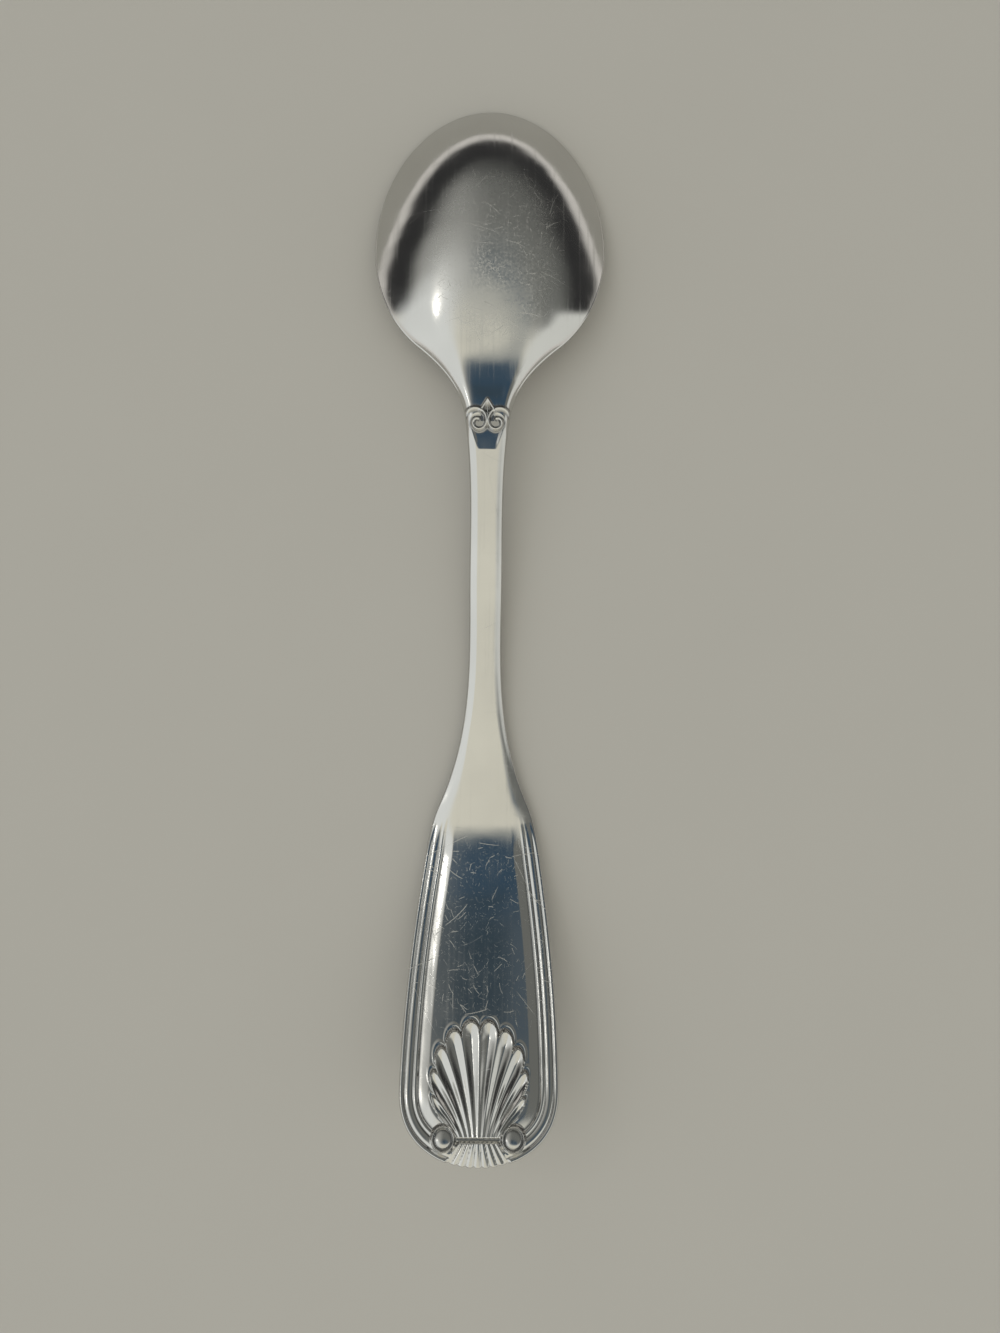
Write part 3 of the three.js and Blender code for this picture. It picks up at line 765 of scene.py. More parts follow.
def section_rings(blank, stations, across, ornament=None):
    """Rings of the bowl and bar at stations along the spoon.

    Near the tip a row is a half ellipse that shrinks with its inset; behind the widest place the
    inset is measured square to the outline. across gives the columns as shares of the half width.
    """

    def place(inset):
        front = np.minimum(stations, BOWL_WIDEST)[:, None]
        turn = (BOWL_WIDEST - front) / BOWL_WIDEST
        s_front = BOWL_WIDEST - (BOWL_WIDEST - inset) * turn
        half_front = (blank.bowl_half - inset) * np.sqrt(np.maximum(0.0, 1.0 - turn * turn))
        rear = np.maximum(stations, BOWL_WIDEST)[:, None]
        lean = blank.slope(blank.half_width, rear)
        half_rear = blank.half_width(rear) - inset * np.sqrt(1.0 + lean * lean)
        behind = stations[:, None] >= BOWL_WIDEST
        return np.where(behind, half_rear, half_front), np.where(behind, rear, s_front)

    half, s = place(np.array([[blank.edge]]))
    x = half * across
    s = np.broadcast_to(s, x.shape)
    top = blank.back(x, s)
    bottom = blank.front(x, s)
    # Share of painted shade, in the grooves of the border and the hollows of the ornament
    hollow = blank.groove(blank.half_width(s) - np.abs(x), s)
    if ornament is not None:
        rise, sunk = ornament(blank, x, s)
        top = top + rise
        hollow = np.maximum(hollow, sunk)
    return closed_rings(blank, x, s, top, bottom, hollow, place)


def round_shares():
    """Columns of the bowl: sines of even angles, so that they crowd towards the rim."""
    return np.sin(np.linspace(-math.pi / 2, math.pi / 2, TOP_COLUMNS))


def bar_shares(blank, stations):
    """Columns of the bar: the bowl's, then even ones at the heel, then crowded in the border."""
    even = np.linspace(-1.0, 1.0, TOP_COLUMNS)
    border = blank.border_width(stations) / blank.half_width(stations)
    border = np.clip(border, 0.0, BORDER_MOST)[:, None]
    step = np.linspace(0.0, 1.0, BORDER_COLUMNS)
    middle = np.linspace(-1.0, 1.0, TOP_COLUMNS - 2 * BORDER_COLUMNS + 2)[1:-1]
    side = 1.0 - border * (1.0 - step)
    crowded = np.concatenate([-1.0 + border * step, middle * (1.0 - border), side], axis=1)
    from_bowl = ramp(blank.heel_start, blank.heel_start + EVEN_RUN, stations)[:, None]
    to_border = ramp(blank.stem_start, blank.shoulders_start, stations)[:, None]
    return mix(mix(round_shares()[None, :], even[None, :], from_bowl), crowded, to_border)


def end_rings(blank):
    """Rings of the handle's end: rows follow the outline round the butt and fold in the middle.

    A border point lies at a distance inward along the outline's normal; the rest of the row is
    straight between the two borders.
    """
    step = (blank.widest_at - blank.shell_start) / END_SIDE_ROWS
    side_s = blank.shell_start + step * np.arange(-1, END_SIDE_ROWS)
    angle = np.linspace(0.0, math.pi / 2, FINE_STEPS)
    fine_x = blank.handle_half * np.cos(angle)
    fine_s = blank.widest_at + HANDLE_WIDEST * np.sin(angle) ** (2.0 / BUTT_SQUARENESS)
    run = np.concatenate([[0.0], np.cumsum(np.hypot(np.diff(fine_x), np.diff(fine_s)))])
    even = np.linspace(0.0, run[-1], END_ROUND_ROWS + 1)
    edge_x = np.concatenate([blank.half_width(side_s), np.interp(even, run, fine_x)])
    edge_s = np.concatenate([side_s, np.interp(even, run, fine_s)])
    edge_x[-1] = 0.0
    run_x = np.gradient(edge_x)
    run_s = np.gradient(edge_s)
    run_x = run_x * ramp(blank.shell_start, blank.shell_start + SQUARE_RUN, edge_s)
    run_x[-1] = -1.0
    run_s[-1] = 0.0
    size = np.hypot(run_x, run_s)
    in_x = (run_s / size)[:, None]
    in_s = (run_x / size)[:, None]
    inward = np.linspace(blank.edge, HANDLE_BORDER, BORDER_COLUMNS)[None, :]
    notch = reed_notch(blank, edge_x, edge_s)[:, None]
    border_x = edge_x[:, None] - inward * in_x
    border_s = edge_s[:, None] + inward * in_s - notch * ramp(NOTCH_DEPTH, 0.0, inward)
    middle = np.linspace(-1.0, 1.0, END_COLUMNS - 2 * BORDER_COLUMNS + 2)[1:-1]
    middle_x = border_x[:, -1:] * middle
    middle_s = np.broadcast_to(border_s[:, -1:], middle_x.shape)
    x = np.concatenate([-border_x, middle_x, border_x[:, ::-1]], axis=1)
    s = np.concatenate([border_s, middle_s, border_s[:, ::-1]], axis=1)
    flat = np.full(middle_x.shape, HANDLE_BORDER)
    near = np.broadcast_to(inward, border_x.shape)
    depth = np.concatenate([near, flat, near[:, ::-1]], axis=1)
    relief, hollow = end_relief(blank, x, s, depth)
    top = blank.bar(s) + relief - blank.panel_fall(x, s)
    bottom = blank.under(s) - relief

    def place(inset):
        return edge_x[:, None] - inset * in_x, edge_s[:, None] + inset * in_s - notch

    return closed_rings(blank, x, s, top, bottom, hollow, place)


def bar_rings(blank, start, end, count, ornament=None):
    """Rings of a stretch of the bar in even rows, with a ghost row before and after."""
    step = (end - start) / count
    rows = start + step * np.arange(-1, count + 2)
    return section_rings(blank, rows, bar_shares(blank, rows), ornament)


def handle_rings(blank):
    """Rings of the straight part of the handle."""
    return bar_rings(blank, blank.panel_start, blank.shell_start, PANEL_ROWS)


def handle_split():
    """Ring columns of the left thread, the panel and the right thread, parted at the inner groove."""
    half = WALL_COLUMNS // 2
    groove = sum(THREAD_WIDTHS) / HANDLE_BORDER
    first = half + int(round(groove * (BORDER_COLUMNS - 1)))
    last = half + TOP_COLUMNS - 1 - (first - half)
    size = 2 * (TOP_COLUMNS + WALL_COLUMNS)
    mirror = size - 1
    left = np.concatenate([np.arange(0, first + 1), np.arange(mirror - first, size)])
    panel = np.concatenate([np.arange(first, last + 1), np.arange(mirror - last, mirror - first + 1)])
    right = np.arange(last, mirror - last + 1)
    return left, panel, right


# Meshes


def weld(points):
    """Points without doubles, and the grid of their numbers."""
    flat = points.reshape(-1, 3)
    keys = np.round(flat / WELD).astype(np.int64)
    _, first, number = np.unique(keys, axis=0, return_index=True, return_inverse=True)
    return flat[first], number.reshape(points.shape[:2])


def cells(grid):
    """Two triangles for each cell of a grid of numbers whose columns close into a ring."""
    here, after = grid[:-1], grid[1:]
    here_next = np.roll(here, -1, axis=1)
    after_next = np.roll(after, -1, axis=1)
    first = np.stack([here, after, after_next], -1)
    second = np.stack([here, after_next, here_next], -1)
    return np.stack([first, second], axis=2)


def cap(row):
    """Triangles across a ring, in strips between its upper and its lower half."""
    count = len(row) // 2
    upper = row[:count]
    lower = row[count:][::-1]
    first = np.stack([upper[:-1], upper[1:], lower[1:]], -1)
    second = np.stack([upper[:-1], lower[1:], lower[:-1]], -1)
    return np.concatenate([first, second])


def face_normals(corners, triangles):
    """Normals of triangles, as long as twice their area."""
    a, b, c = (corners[triangles[:, k]] for k in range(3))
    return np.cross(b - a, c - a)


def real(triangles):
    """Triangles with three different corners."""
    a, b, c = triangles.T
    return triangles[(a != b) & (b != c) & (c != a)]


def unit(vectors):
    """Vectors of length one."""
    return vectors / np.maximum(np.linalg.norm(vectors, axis=-1, keepdims=True), 1e-12)


def polished_piece(blank, name, node, rings, columns=None, ghosts=(1, 1), capped=(True, True)):
    """Makes a closed piece of the spoon from rows of rings.

    Normals are averaged over the whole rings, with the ghost rows before and after the piece, so
    that neighbouring pieces share them. columns picks the part of the ring that the piece takes.
    """
    points, hollow = rings
    x, s, z = np.moveaxis(points, -1, 0)
    corners, grid = weld(np.stack([x, blank.length / 2 - s, z], -1))
    skin = real(cells(grid).reshape(-1, 3))
    sums = np.zeros_like(corners)
    weight = face_normals(corners, skin)
    for k in range(3):
        np.add.at(sums, skin[:, k], weight)
    smooth = unit(sums)
    sunk = np.zeros(len(corners))
    sunk[grid.ravel()] = hollow.ravel()
    size = grid.shape[1]
    columns = np.arange(size) if columns is None else columns
    kept = grid[ghosts[0] : len(grid) - ghosts[1]][:, columns]
    joined = (np.roll(columns, -1) - columns) % size == 1
    shown = cells(kept)
    outer = real(shown[:, joined].reshape(-1, 3))
    inner = [shown[:, ~joined].reshape(-1, 3)]
    if capped[0]:
        inner.append(cap(kept[0]))
    if capped[1]:
        inner.append(cap(kept[-1])[:, ::-1])
    inner = real(np.concatenate(inner))
    triangles = np.concatenate([outer, inner])
    flat = unit(face_normals(corners, inner))
    loops = np.concatenate([smooth[outer].reshape(-1, 3), np.repeat(flat, 3, axis=0)])
    used, numbers = np.unique(triangles, return_inverse=True)
    numbers = numbers.reshape(-1)

    mesh = bpy.data.meshes.new(name)
    mesh.vertices.add(len(used))
    mesh.vertices.foreach_set("co", (corners[used] * MM).astype(np.float32).ravel())
    mesh.loops.add(len(numbers))
    mesh.loops.foreach_set("vertex_index", numbers.astype(np.int32))
    mesh.polygons.add(len(triangles))
    mesh.polygons.foreach_set("loop_start", np.arange(0, len(numbers), 3, dtype=np.int32))
    mesh.polygons.foreach_set("use_smooth", np.ones(len(triangles), bool))
    # Share of painted shade in the grooves and hollows, which the steel also reads for roughness
    groove = mesh.attributes.new("groove", "FLOAT", "POINT")
    groove.data.foreach_set("value", sunk[used].astype(np.float32))
    mesh.update(calc_edges=True)
    mesh.normals_split_custom_set(loops.astype(np.float32))
    piece = bpy.data.objects.new(name, mesh)
    bpy.context.scene.collection.objects.link(piece)
    mesh.materials.append(polished_steel())
    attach(piece, BODY)
    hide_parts(node)
    return piece


# Shader wiring


class Wire:
    """A socket of a shader tree. Sums, products and the like add Math nodes to the tree."""

    def __init__(self, tree, socket):
        self.tree = tree
        self.socket = socket

    def math(self, operation, *values):
        """Math node on this value and others."""
        inputs = dict(enumerate((self, *values)))
        return add(self.tree, "ShaderNodeMath", {"operation": operation}, inputs)[0]

    def __add__(self, other):
        return self.math("ADD", other)

    def __sub__(self, other):
        return self.math("SUBTRACT", other)

    def __rsub__(self, other):
        return (self * -1.0).math("ADD", other)

    def __mul__(self, other):
        return self.math("MULTIPLY", other)

    __radd__ = __add__
    __rmul__ = __mul__

    def __abs__(self):
        return self.math("ABSOLUTE")

    def ramp(self, low, high):
        """Smooth step of this value from 0 at low to 1 at high."""
        settings = {"interpolation_type": "SMOOTHSTEP"}
        inputs = {"Value": self, "From Min": low, "From Max": high}
        return add(self.tree, "ShaderNodeMapRange", settings, inputs)[0]


def add(tree, kind, settings=None, inputs=None):
    """Adds a node of a type, with its settings and then its sockets, and gives its outputs as wires."""
    node = tree.nodes.new(kind)
    for name, value in (settings or {}).items():
        setattr(node, name, value)
    for name, value in (inputs or {}).items():
        if isinstance(value, Wire):
            tree.links.new(value.socket, node.inputs[name])
        else:
            node.inputs[name].default_value = value
    return [Wire(tree, socket) for socket in node.outputs]


def blend(tree, share, a, b):
    """Colour between a and b."""
    return add(tree, "ShaderNodeMix", {"data_type": "RGBA"}, {0: share, 6: a, 7: b})[2]


def vector(tree, operation, a, b):
    """Vector Math on two vectors."""
    return add(tree, "ShaderNodeVectorMath", {"operation": operation}, {0: a, 1: b})[0]


def parts(tree, wire):
    """The three components of a vector."""
    return add(tree, "ShaderNodeSeparateXYZ", None, {0: wire})


def noise(tree, place, scale, detail):
    """Noise over a place, from 0 to 1."""
    return add(tree, "ShaderNodeTexNoise", None, {"Vector": place, "Scale": scale, "Detail": detail})[0]


def round_area(x, y, middle, weights, edge):
    """Soft oval: a smooth step of the weighted squares of the two distances from its middle."""
    across = x - middle[0]
    along = y - middle[1]
    return (across * across * weights[0] + along * along * weights[1]).ramp(*edge)


def tone(colour, share=1.0):
    """A colour of the settings, dimmed by a share, as a socket takes it."""
    return tuple(c * share for c in colour) + (1.0,)


def cleared(owner):
    """Node tree of a material or a world, with no nodes in it."""
    owner.use_nodes = True
    owner.node_tree.nodes.clear()
    return owner.node_tree


def scratches(tree, place, cell, width, length, bend, offset):
    """Short lines, one in each cell of a Voronoi pattern, each with its own direction and curve."""
    shift = (offset, offset * OFFSET_SHARE, 0.0)
    inputs = {"Vector": place, "Location": shift, "Scale": (1 / cell, 1 / cell, 0.0)}
    scaled = add(tree, "ShaderNodeMapping", None, inputs)[0]
    settings = {"voronoi_dimensions": "2D", "feature": "F1"}
    inputs = {"Vector": scaled, "Scale": 1.0, "Randomness": 1.0}
    voronoi = add(tree, "ShaderNodeTexVoronoi", settings, inputs)
    dx, dy, _ = parts(tree, vector(tree, "SUBTRACT", scaled, voronoi[2]))
    red, green, blue = parts(tree, voronoi[1])
    angle = red * (2.0 * math.pi)
    cos = angle.math("COSINE")
    sin = angle.math("SINE")
    along = dx * cos + dy * sin
    across = dy * cos - dx * sin + along * along * (green - 0.5) * bend
    line = abs(across).ramp(width / cell, MARK_CORE * width / cell)
    ends = (blue * (length / cell * MARK_REACH) - abs(along)).ramp(0.0, length / cell * MARK_FADE)
    return line * ends * blue.ramp(*MARK_STRENGTH)


def polished_steel():
    """Polished stainless steel with smudges, fine scratches where it rubs, and painted shade in the
    grooves.
    """
    name = "polished_steel"
    if name in bpy.data.materials:
        return bpy.data.materials[name]
    finish = bpy.context.scene.teaspoon_finish
    material = bpy.data.materials.new(name)
    tree = cleared(material)
    place = add(tree, "ShaderNodeTexCoord")[3]
    x, y, _ = parts(tree, place)
    groove = add(tree, "ShaderNodeAttribute", {"attribute_name": "groove"})[2]

    bowl_rub = round_area(x, y, *BOWL_RUB)
    panel_rub = y.ramp(*PANEL_RUB[0]) * y.ramp(*PANEL_RUB[1])
    rub = (bowl_rub + panel_rub).math("MINIMUM", 1.0) * (1.0 - RUB_LEAST) + RUB_LEAST
    patch = noise(tree, place, *PATCHES)
    long_marks = scratches(tree, place, *LONGEST_MARKS) + scratches(tree, place, *LONG_MARKS)
    short_marks = scratches(tree, place, *SHORT_MARKS)
    coarse = (long_marks + short_marks * SHORT_SHARE) * patch.ramp(*COARSE_PATCH) * rub
    fine_marks = scratches(tree, place, *FINE_MARKS) + scratches(tree, place, *FINEST_MARKS)
    fine_rub = bowl_rub * FINE_ON_BOWL + panel_rub * FINE_ON_PANEL
    fine = fine_marks * patch.ramp(*FINE_PATCH) * fine_rub
    marks = (coarse + fine).math("MINIMUM", 1.0) * finish.scratches

    grain = noise(tree, place, *GRAIN)
    lines = add(tree, "ShaderNodeMapping", None, {"Vector": place, "Scale": BRUSHING_STRETCH})[0]
    rough = (
        finish.roughness
        + noise(tree, place, *SMUDGES).ramp(*SMUDGE_RANGE) * SMUDGE_ROUGH
        + bowl_rub * (BOWL_ROUGH + grain.ramp(*GRAIN_RANGE) * GRAIN_ROUGH)
        + round_area(x, y, *SHELL_HAZE) * SHELL_ROUGH
        + noise(tree, lines, *BRUSHING).ramp(*BRUSHING_RANGE) * BRUSHING_ROUGH
        + marks
        + groove * GROOVE_ROUGH
    )
    shade = noise(tree, place, *SHADES).ramp(*SHADE_RANGE)
    colour = blend(tree, shade, tone(finish.steel_colour), tone(finish.steel_colour, WORN_SHARE))
    # Painted shade: the grooves and hollows of the border and ornament darken towards the shade colour
    dark = groove.ramp(*RECESS_SHADE_RANGE) * finish.recess_shade
    colour = blend(tree, dark, colour, tone(finish.recess_shade_colour))

    inputs = {"Strength": 1.0, "Distance": BUMP_HEIGHT, "Height": noise(tree, place, *WAVES)}
    polish = add(tree, "ShaderNodeBump", None, inputs)[0]
    height = grain * GRAIN_HEIGHT + marks
    inputs = {"Strength": BUMP_STRENGTH, "Distance": BUMP_HEIGHT, "Height": height, "Normal": polish}
    bump = add(tree, "ShaderNodeBump", None, inputs)[0]
    inputs = {"Base Color": colour, "Metallic": 1.0, "Roughness": rough, "Normal": bump}
    shader = add(tree, "ShaderNodeBsdfPrincipled", None, inputs)[0]
    add(tree, "ShaderNodeOutputMaterial", None, {"Surface": shader})
    return material


def floor_finish(colour):
    """Plain matt floor with a very faint mottle."""
    material = bpy.data.materials.new("studio_floor")
    tree = cleared(material)
    mottle = noise(tree, add(tree, "ShaderNodeTexCoord")[3], *MOTTLE)
    inputs = {"Base Color": blend(tree, mottle, tone(colour), tone(colour, FLOOR_DIM))}
    inputs["Roughness"] = FLOOR_ROUGHNESS
    shader = add(tree, "ShaderNodeBsdfPrincipled", None, inputs)[0]
    add(tree, "ShaderNodeOutputMaterial", None, {"Surface": shader})
    return material


def studio_world(studio):
    """Soft surround: pale overhead and on the near side, dark on the far side, bright on the left."""
    world = bpy.data.worlds.new("studio_world")
    bpy.context.scene.world = world
    tree = cleared(world)
    x, y, z = parts(tree, add(tree, "ShaderNodeTexCoord")[0])
    right = tone(studio.right_colour)
    high = blend(tree, x.ramp(*HIGH_RIGHT), tone(studio.high_colour), tone(studio.side_colour))
    high = blend(tree, y.ramp(*HIGH_BLUE), high, tone(studio.blue_colour))
    far = blend(tree, z.ramp(*FAR_RISE), tone(studio.low_colour), tone(studio.far_colour))
    far = blend(tree, z.ramp(*FAR_HIGH), far, high)
    far_left = x.ramp(*FAR_LEFT) * z.ramp(*FAR_LEFT_RISE)
    far = blend(tree, far_left, far, tone(studio.far_left_colour))
    near = blend(tree, x.ramp(*NEAR_RIGHT), tone(studio.ceiling_colour), right)
    colour = blend(tree, (y + x * z * NEAR_LEAN).ramp(*NEAR_EDGE), far, near)
    colour = blend(tree, x.ramp(*RIGHT_ACROSS) * y.ramp(*RIGHT_ALONG), colour, right)
    left = (z - x * LEFT_LEAN - y * LEFT_LEAN).ramp(*LEFT_EDGE) * x.ramp(*LEFT_ACROSS)
    colour = blend(tree, left, colour, tone(studio.left_colour))
    colour = blend(tree, z.ramp(*HORIZON), colour, tone(studio.horizon_colour))
    seen = add(tree, "ShaderNodeLightPath")[0]
    colour = blend(tree, seen, colour, tone(studio.backdrop_colour))
    background = add(tree, "ShaderNodeBackground", None, {"Color": colour, "Strength": 1.0})[0]
    add(tree, "ShaderNodeOutputWorld", None, {"Surface": background})


# Settings


def length_setting(name, description, default):
    """A setting that is a length."""
    return FloatProperty(name=name, description=description, default=default, unit="LENGTH")


def share_setting(name, description, default):
    """A setting from 0 to 1."""
    kind = {"subtype": "FACTOR", "min": 0.0, "max": 1.0}
    return FloatProperty(name=name, description=description, default=default, **kind)


def colour_setting(name, description, default):
    """A setting that is a colour."""
    kind = {"subtype": "COLOR", "min": 0.0, "max": 1.0}
    return FloatVectorProperty(name=name, description=description, default=default, **kind)


class TeaspoonSizes(bpy.types.PropertyGroup):
    """Sizes of the spoon."""

    length: length_setting("Length", "From the bowl tip to the butt", CAD_BOX[1].y - CAD_BOX[0].y)
    bowl_width: length_setting("Bowl width", "Across the widest place of the bowl", box_size("bowl", 0))
    bowl_height: length_setting("Bowl height", "Crown of the bowl's back above its rim", 0.0087)
    stem_width: length_setting("Stem width", "Across the narrowest place of the stem", 0.0049)
    handle_width: length_setting(
        "Handle width", "Across the widest place of the handle", box_size("shell_end", 0)
    )
    edge_round: length_setting(
        "Edge rounding", "How far the rounded edge reaches in from the outline", 0.0002
    )
    thread_depth: length_setting("Thread depth", "Grooves of the thread border below the panel", 0.00038)
    shell_rise: length_setting("Shell rise", "Ridges of the shell above the panel", 0.0007)
    scroll_rise: length_setting("Scroll rise", "Scrolls and leaf above the heel", 0.00032)


class TeaspoonFinish(bpy.types.PropertyGroup):
    """Finish of the steel."""

    steel_colour: colour_setting("Steel", "Colour of the polished steel", (0.63, 0.625, 0.61))
    # Painted shade in the grooves and hollows: its colour and how strongly it shows
    recess_shade_colour: colour_setting(
        "Tarnish", "Colour of the steel in the grooves", (0.1, 0.105, 0.115)
    )
    recess_shade: share_setting("Tarnish amount", "How far the grooves have darkened", 0.55)
    roughness: share_setting("Roughness", "Roughness of the clean polished steel", 0.09)
    scratches: share_setting("Scratches", "How strongly the fine scratches show", 0.55)


class TeaspoonStudio(bpy.types.PropertyGroup):
    """Colours and levels of the studio."""

    floor_colour: colour_setting("Floor", "Colour of the pale floor", (0.6, 0.58, 0.55))
    ceiling_colour: colour_setting(
        "Overhead", "Soft light overhead and on the near side", (0.9, 0.875, 0.75)
    )
    left_colour: colour_setting("Left", "Soft light on the left", (0.95, 0.97, 0.94))
    right_colour: colour_setting(
        "Right", "Soft cool light on the right of the near side", (0.84, 0.85, 0.8)
    )
    high_colour: colour_setting(
        "Far side, high", "Dark surround beyond the bowl tip, high up", (0.048, 0.074, 0.095)
    )
    blue_colour: colour_setting(
        "Far side, nearly overhead",
        "Dark blue surround just beyond the overhead light",
        (0.05, 0.092, 0.14),
    )
    side_colour: colour_setting(
        "Far side, right",
        "Slate surround beyond the bowl tip, high up on the right",
        (0.1, 0.132, 0.16),
    )
    far_colour: colour_setting("Far side", "Grey surround beyond the bowl tip", (0.2, 0.205, 0.19))
    far_left_colour: colour_setting(
        "Far side, left", "Lighter surround beyond the bowl tip on the left", (0.46, 0.46, 0.43)
    )
    low_colour: colour_setting("Far side, low", "Dark surround near the floor", (0.04, 0.04, 0.04))
    horizon_colour: colour_setting(
        "Horizon", "Pale band where the surround meets the floor", (0.8, 0.77, 0.72)
    )
    backdrop_colour: colour_setting(
        "Backdrop", "Plain pale backdrop behind the spoon", (0.72, 0.7, 0.66)
    )
    key_colour: colour_setting("Key light", "Colour of the key light", (1.0, 0.96, 0.88))
    key_power: FloatProperty(
        name="Key power", description="Power of the key light", default=0.1, unit="POWER", min=0.0
    )


# Operators


class TEASPOON_OT_bowl(bpy.types.Operator):
    """Make the polished bowl: a domed back, a rounded rim and the hollow front."""

    bl_idname = "teaspoon.bowl"
    bl_label = "Bowl"

    def execute(self, context):
        blank = Blank(context.scene.teaspoon_sizes)
        turn = np.linspace(0.0, math.pi / 2, TIP_ROWS + 1)[:-1]
        tip = BOWL_WIDEST * (1.0 - np.cos(turn))
        step = (blank.heel_start - BOWL_WIDEST) / BOWL_ROWS
        rest = BOWL_WIDEST + step * np.arange(BOWL_ROWS + 2)
        rows = np.concatenate([tip, rest])
        behind = ramp(BOWL_WIDEST, NECK, rows)[:, None]
        across = mix(round_shares()[None, :], bar_shares(blank, rows), behind)
        rings = section_rings(blank, rows, across)
        ends = {"ghosts": (0, 1), "capped": (False, True)}
        polished_piece(blank, "polished_bowl", "bowl", rings, **ends)
        return {"FINISHED"}


class TEASPOON_OT_heel(bpy.types.Operator):
    """Make the polished heel with its two scrolls and leaf."""

    bl_idname = "teaspoon.heel"
    bl_label = "Heel"

    def execute(self, context):
        blank = Blank(context.scene.teaspoon_sizes)
        rings = bar_rings(blank, blank.heel_start, blank.stem_start, HEEL_ROWS, heel_ornament)
        polished_piece(blank, "polished_heel", "heel", rings)
        return {"FINISHED"}


class TEASPOON_OT_stem(bpy.types.Operator):
    """Make the polished stem, a narrow bar with rounded bevels."""

    bl_idname = "teaspoon.stem"
    bl_label = "Stem"

    def execute(self, context):
        blank = Blank(context.scene.teaspoon_sizes)
        rings = bar_rings(blank, blank.stem_start, blank.shoulders_start, STEM_ROWS)
        polished_piece(blank, "polished_stem", "stem", rings)
        return {"FINISHED"}


class TEASPOON_OT_shoulders(bpy.types.Operator):
    """Make the polished shoulders, where the threads grow out of the bevel."""

    bl_idname = "teaspoon.shoulders"
    bl_label = "Shoulders"

    def execute(self, context):
        blank = Blank(context.scene.teaspoon_sizes)
        rings = bar_rings(blank, blank.shoulders_start, blank.panel_start, SHOULDER_ROWS)
        polished_piece(blank, "polished_shoulders", "shoulders", rings)
        return {"FINISHED"}


class TEASPOON_OT_panel(bpy.types.Operator):
    """Make the polished panel of the handle with its bevels."""

    bl_idname = "teaspoon.panel"
    bl_label = "Handle panel"

    def execute(self, context):
        blank = Blank(context.scene.teaspoon_sizes)
        columns = handle_split()[1]
        polished_piece(blank, "polished_panel", "handle_panel", handle_rings(blank), columns)
        return {"FINISHED"}


class TEASPOON_OT_threads(bpy.types.Operator):
    """Make the two polished thread borders."""

    bl_idname = "teaspoon.threads"
    bl_label = "Thread borders"

    def execute(self, context):
        blank = Blank(context.scene.teaspoon_sizes)
        left, _, right = handle_split()
        rings = handle_rings(blank)
        polished_piece(blank, "polished_left_thread", "left_thread", rings, left)
        polished_piece(blank, "polished_right_thread", "right_thread", rings, right)
        return {"FINISHED"}


class TEASPOON_OT_shell_end(bpy.types.Operator):
    """Make the polished end of the handle with the shell, the volutes and the reeded butt."""

    bl_idname = "teaspoon.shell_end"
    bl_label = "Shell end"

    def execute(self, context):
        blank = Blank(context.scene.teaspoon_sizes)
        rings = end_rings(blank)
        ends = {"ghosts": (1, 0), "capped": (True, False)}
        polished_piece(blank, "polished_shell_end", "shell_end", rings, **ends)
        return {"FINISHED"}


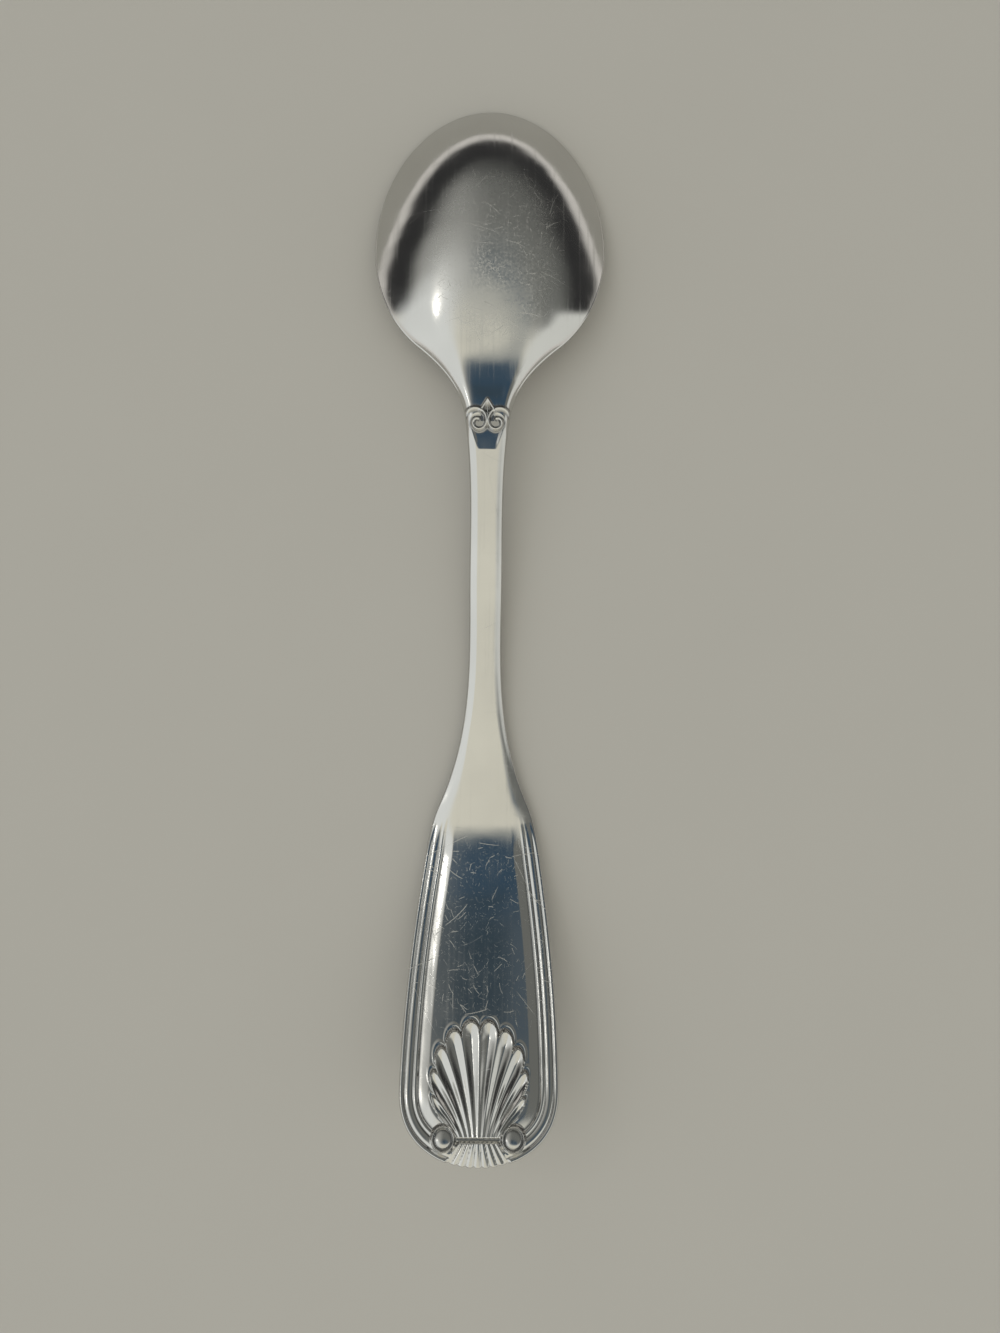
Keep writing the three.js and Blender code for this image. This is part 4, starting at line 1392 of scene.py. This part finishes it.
class TEASPOON_OT_stage(bpy.types.Operator):
    """Make the floor, the soft light and the camera."""

    bl_idname = "teaspoon.stage"
    bl_label = "Stage"

    def execute(self, context):
        scene = context.scene
        studio = scene.teaspoon_studio
        scene.view_settings.view_transform = "Standard"
        studio_world(studio)

        mesh = bpy.data.meshes.new("floor")
        corners = np.array([[-1, -1, 0], [1, -1, 0], [1, 1, 0], [-1, 1, 0]], float) * FLOOR_HALF
        mesh.from_pydata(corners.tolist(), [], [(0, 1, 2, 3)])
        mesh.materials.append(floor_finish(studio.floor_colour))
        floor = bpy.data.objects.new("floor", mesh)
        scene.collection.objects.link(floor)

        lamp = bpy.data.lights.new("key_light", "AREA")
        lamp.shape = "ELLIPSE"
        lamp.size = KEY_LENGTH
        lamp.size_y = KEY_WIDTH
        lamp.energy = studio.key_power
        lamp.color = studio.key_colour
        key = bpy.data.objects.new("key_light", lamp)
        flat = math.cos(KEY_ELEVATION)
        across = flat * math.cos(KEY_AZIMUTH)
        along = flat * math.sin(KEY_AZIMUTH)
        aim = Vector((across, along, math.sin(KEY_ELEVATION)))
        key.location = aim * KEY_DISTANCE
        key.rotation_mode = "QUATERNION"
        key.rotation_quaternion = aim.to_track_quat("Z", "Y") @ Quaternion((0.0, 0.0, 1.0), KEY_TURN)
        scene.collection.objects.link(key)

        lens = bpy.data.cameras.new("camera")
        lens.sensor_width = SENSOR
        lens.lens = SENSOR * FOCAL_PIXELS / PHOTO_HEIGHT
        lens.clip_start = CAMERA_CLIP
        camera = bpy.data.objects.new("camera", lens)
        camera.location = CAMERA_PLACE
        camera.rotation_euler = CAMERA_TURN
        scene.collection.objects.link(camera)
        scene.camera = camera
        return {"FINISHED"}


PIECES = (
    TEASPOON_OT_bowl,
    TEASPOON_OT_heel,
    TEASPOON_OT_stem,
    TEASPOON_OT_shoulders,
    TEASPOON_OT_panel,
    TEASPOON_OT_threads,
    TEASPOON_OT_shell_end,
    TEASPOON_OT_stage,
)
SETTINGS = {
    "teaspoon_sizes": TeaspoonSizes,
    "teaspoon_finish": TeaspoonFinish,
    "teaspoon_studio": TeaspoonStudio,
}


class TEASPOON_PT_panel(bpy.types.Panel):
    """Lists the pieces of the teaspoon and their settings."""

    bl_idname = "TEASPOON_PT_panel"
    bl_label = "Teaspoon"
    bl_space_type = "VIEW_3D"
    bl_region_type = "UI"
    bl_category = "Teaspoon"

    def draw(self, context):
        layout = self.layout
        for operator in PIECES:
            layout.operator(operator.bl_idname)
        for name, group in SETTINGS.items():
            column = layout.column()
            for setting in group.__annotations__:
                column.prop(getattr(context.scene, name), setting)


def register():
    """Registers the settings, the operators and the panel."""
    for name, group in SETTINGS.items():
        bpy.utils.register_class(group)
        setattr(bpy.types.Scene, name, PointerProperty(type=group))
    for operator in PIECES:
        bpy.utils.register_class(operator)
    bpy.utils.register_class(TEASPOON_PT_panel)


def unregister():
    """Takes everything that register added away again."""
    bpy.utils.unregister_class(TEASPOON_PT_panel)
    for operator in reversed(PIECES):
        bpy.utils.unregister_class(operator)
    for name, group in SETTINGS.items():
        delattr(bpy.types.Scene, name)
        bpy.utils.unregister_class(group)


def main():
    """Registers the add-on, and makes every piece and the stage."""
    register()
    bpy.ops.teaspoon.bowl()
    bpy.ops.teaspoon.heel()
    bpy.ops.teaspoon.stem()
    bpy.ops.teaspoon.shoulders()
    bpy.ops.teaspoon.panel()
    bpy.ops.teaspoon.threads()
    bpy.ops.teaspoon.shell_end()
    bpy.ops.teaspoon.stage()


if __name__ == "__main__":
    main()
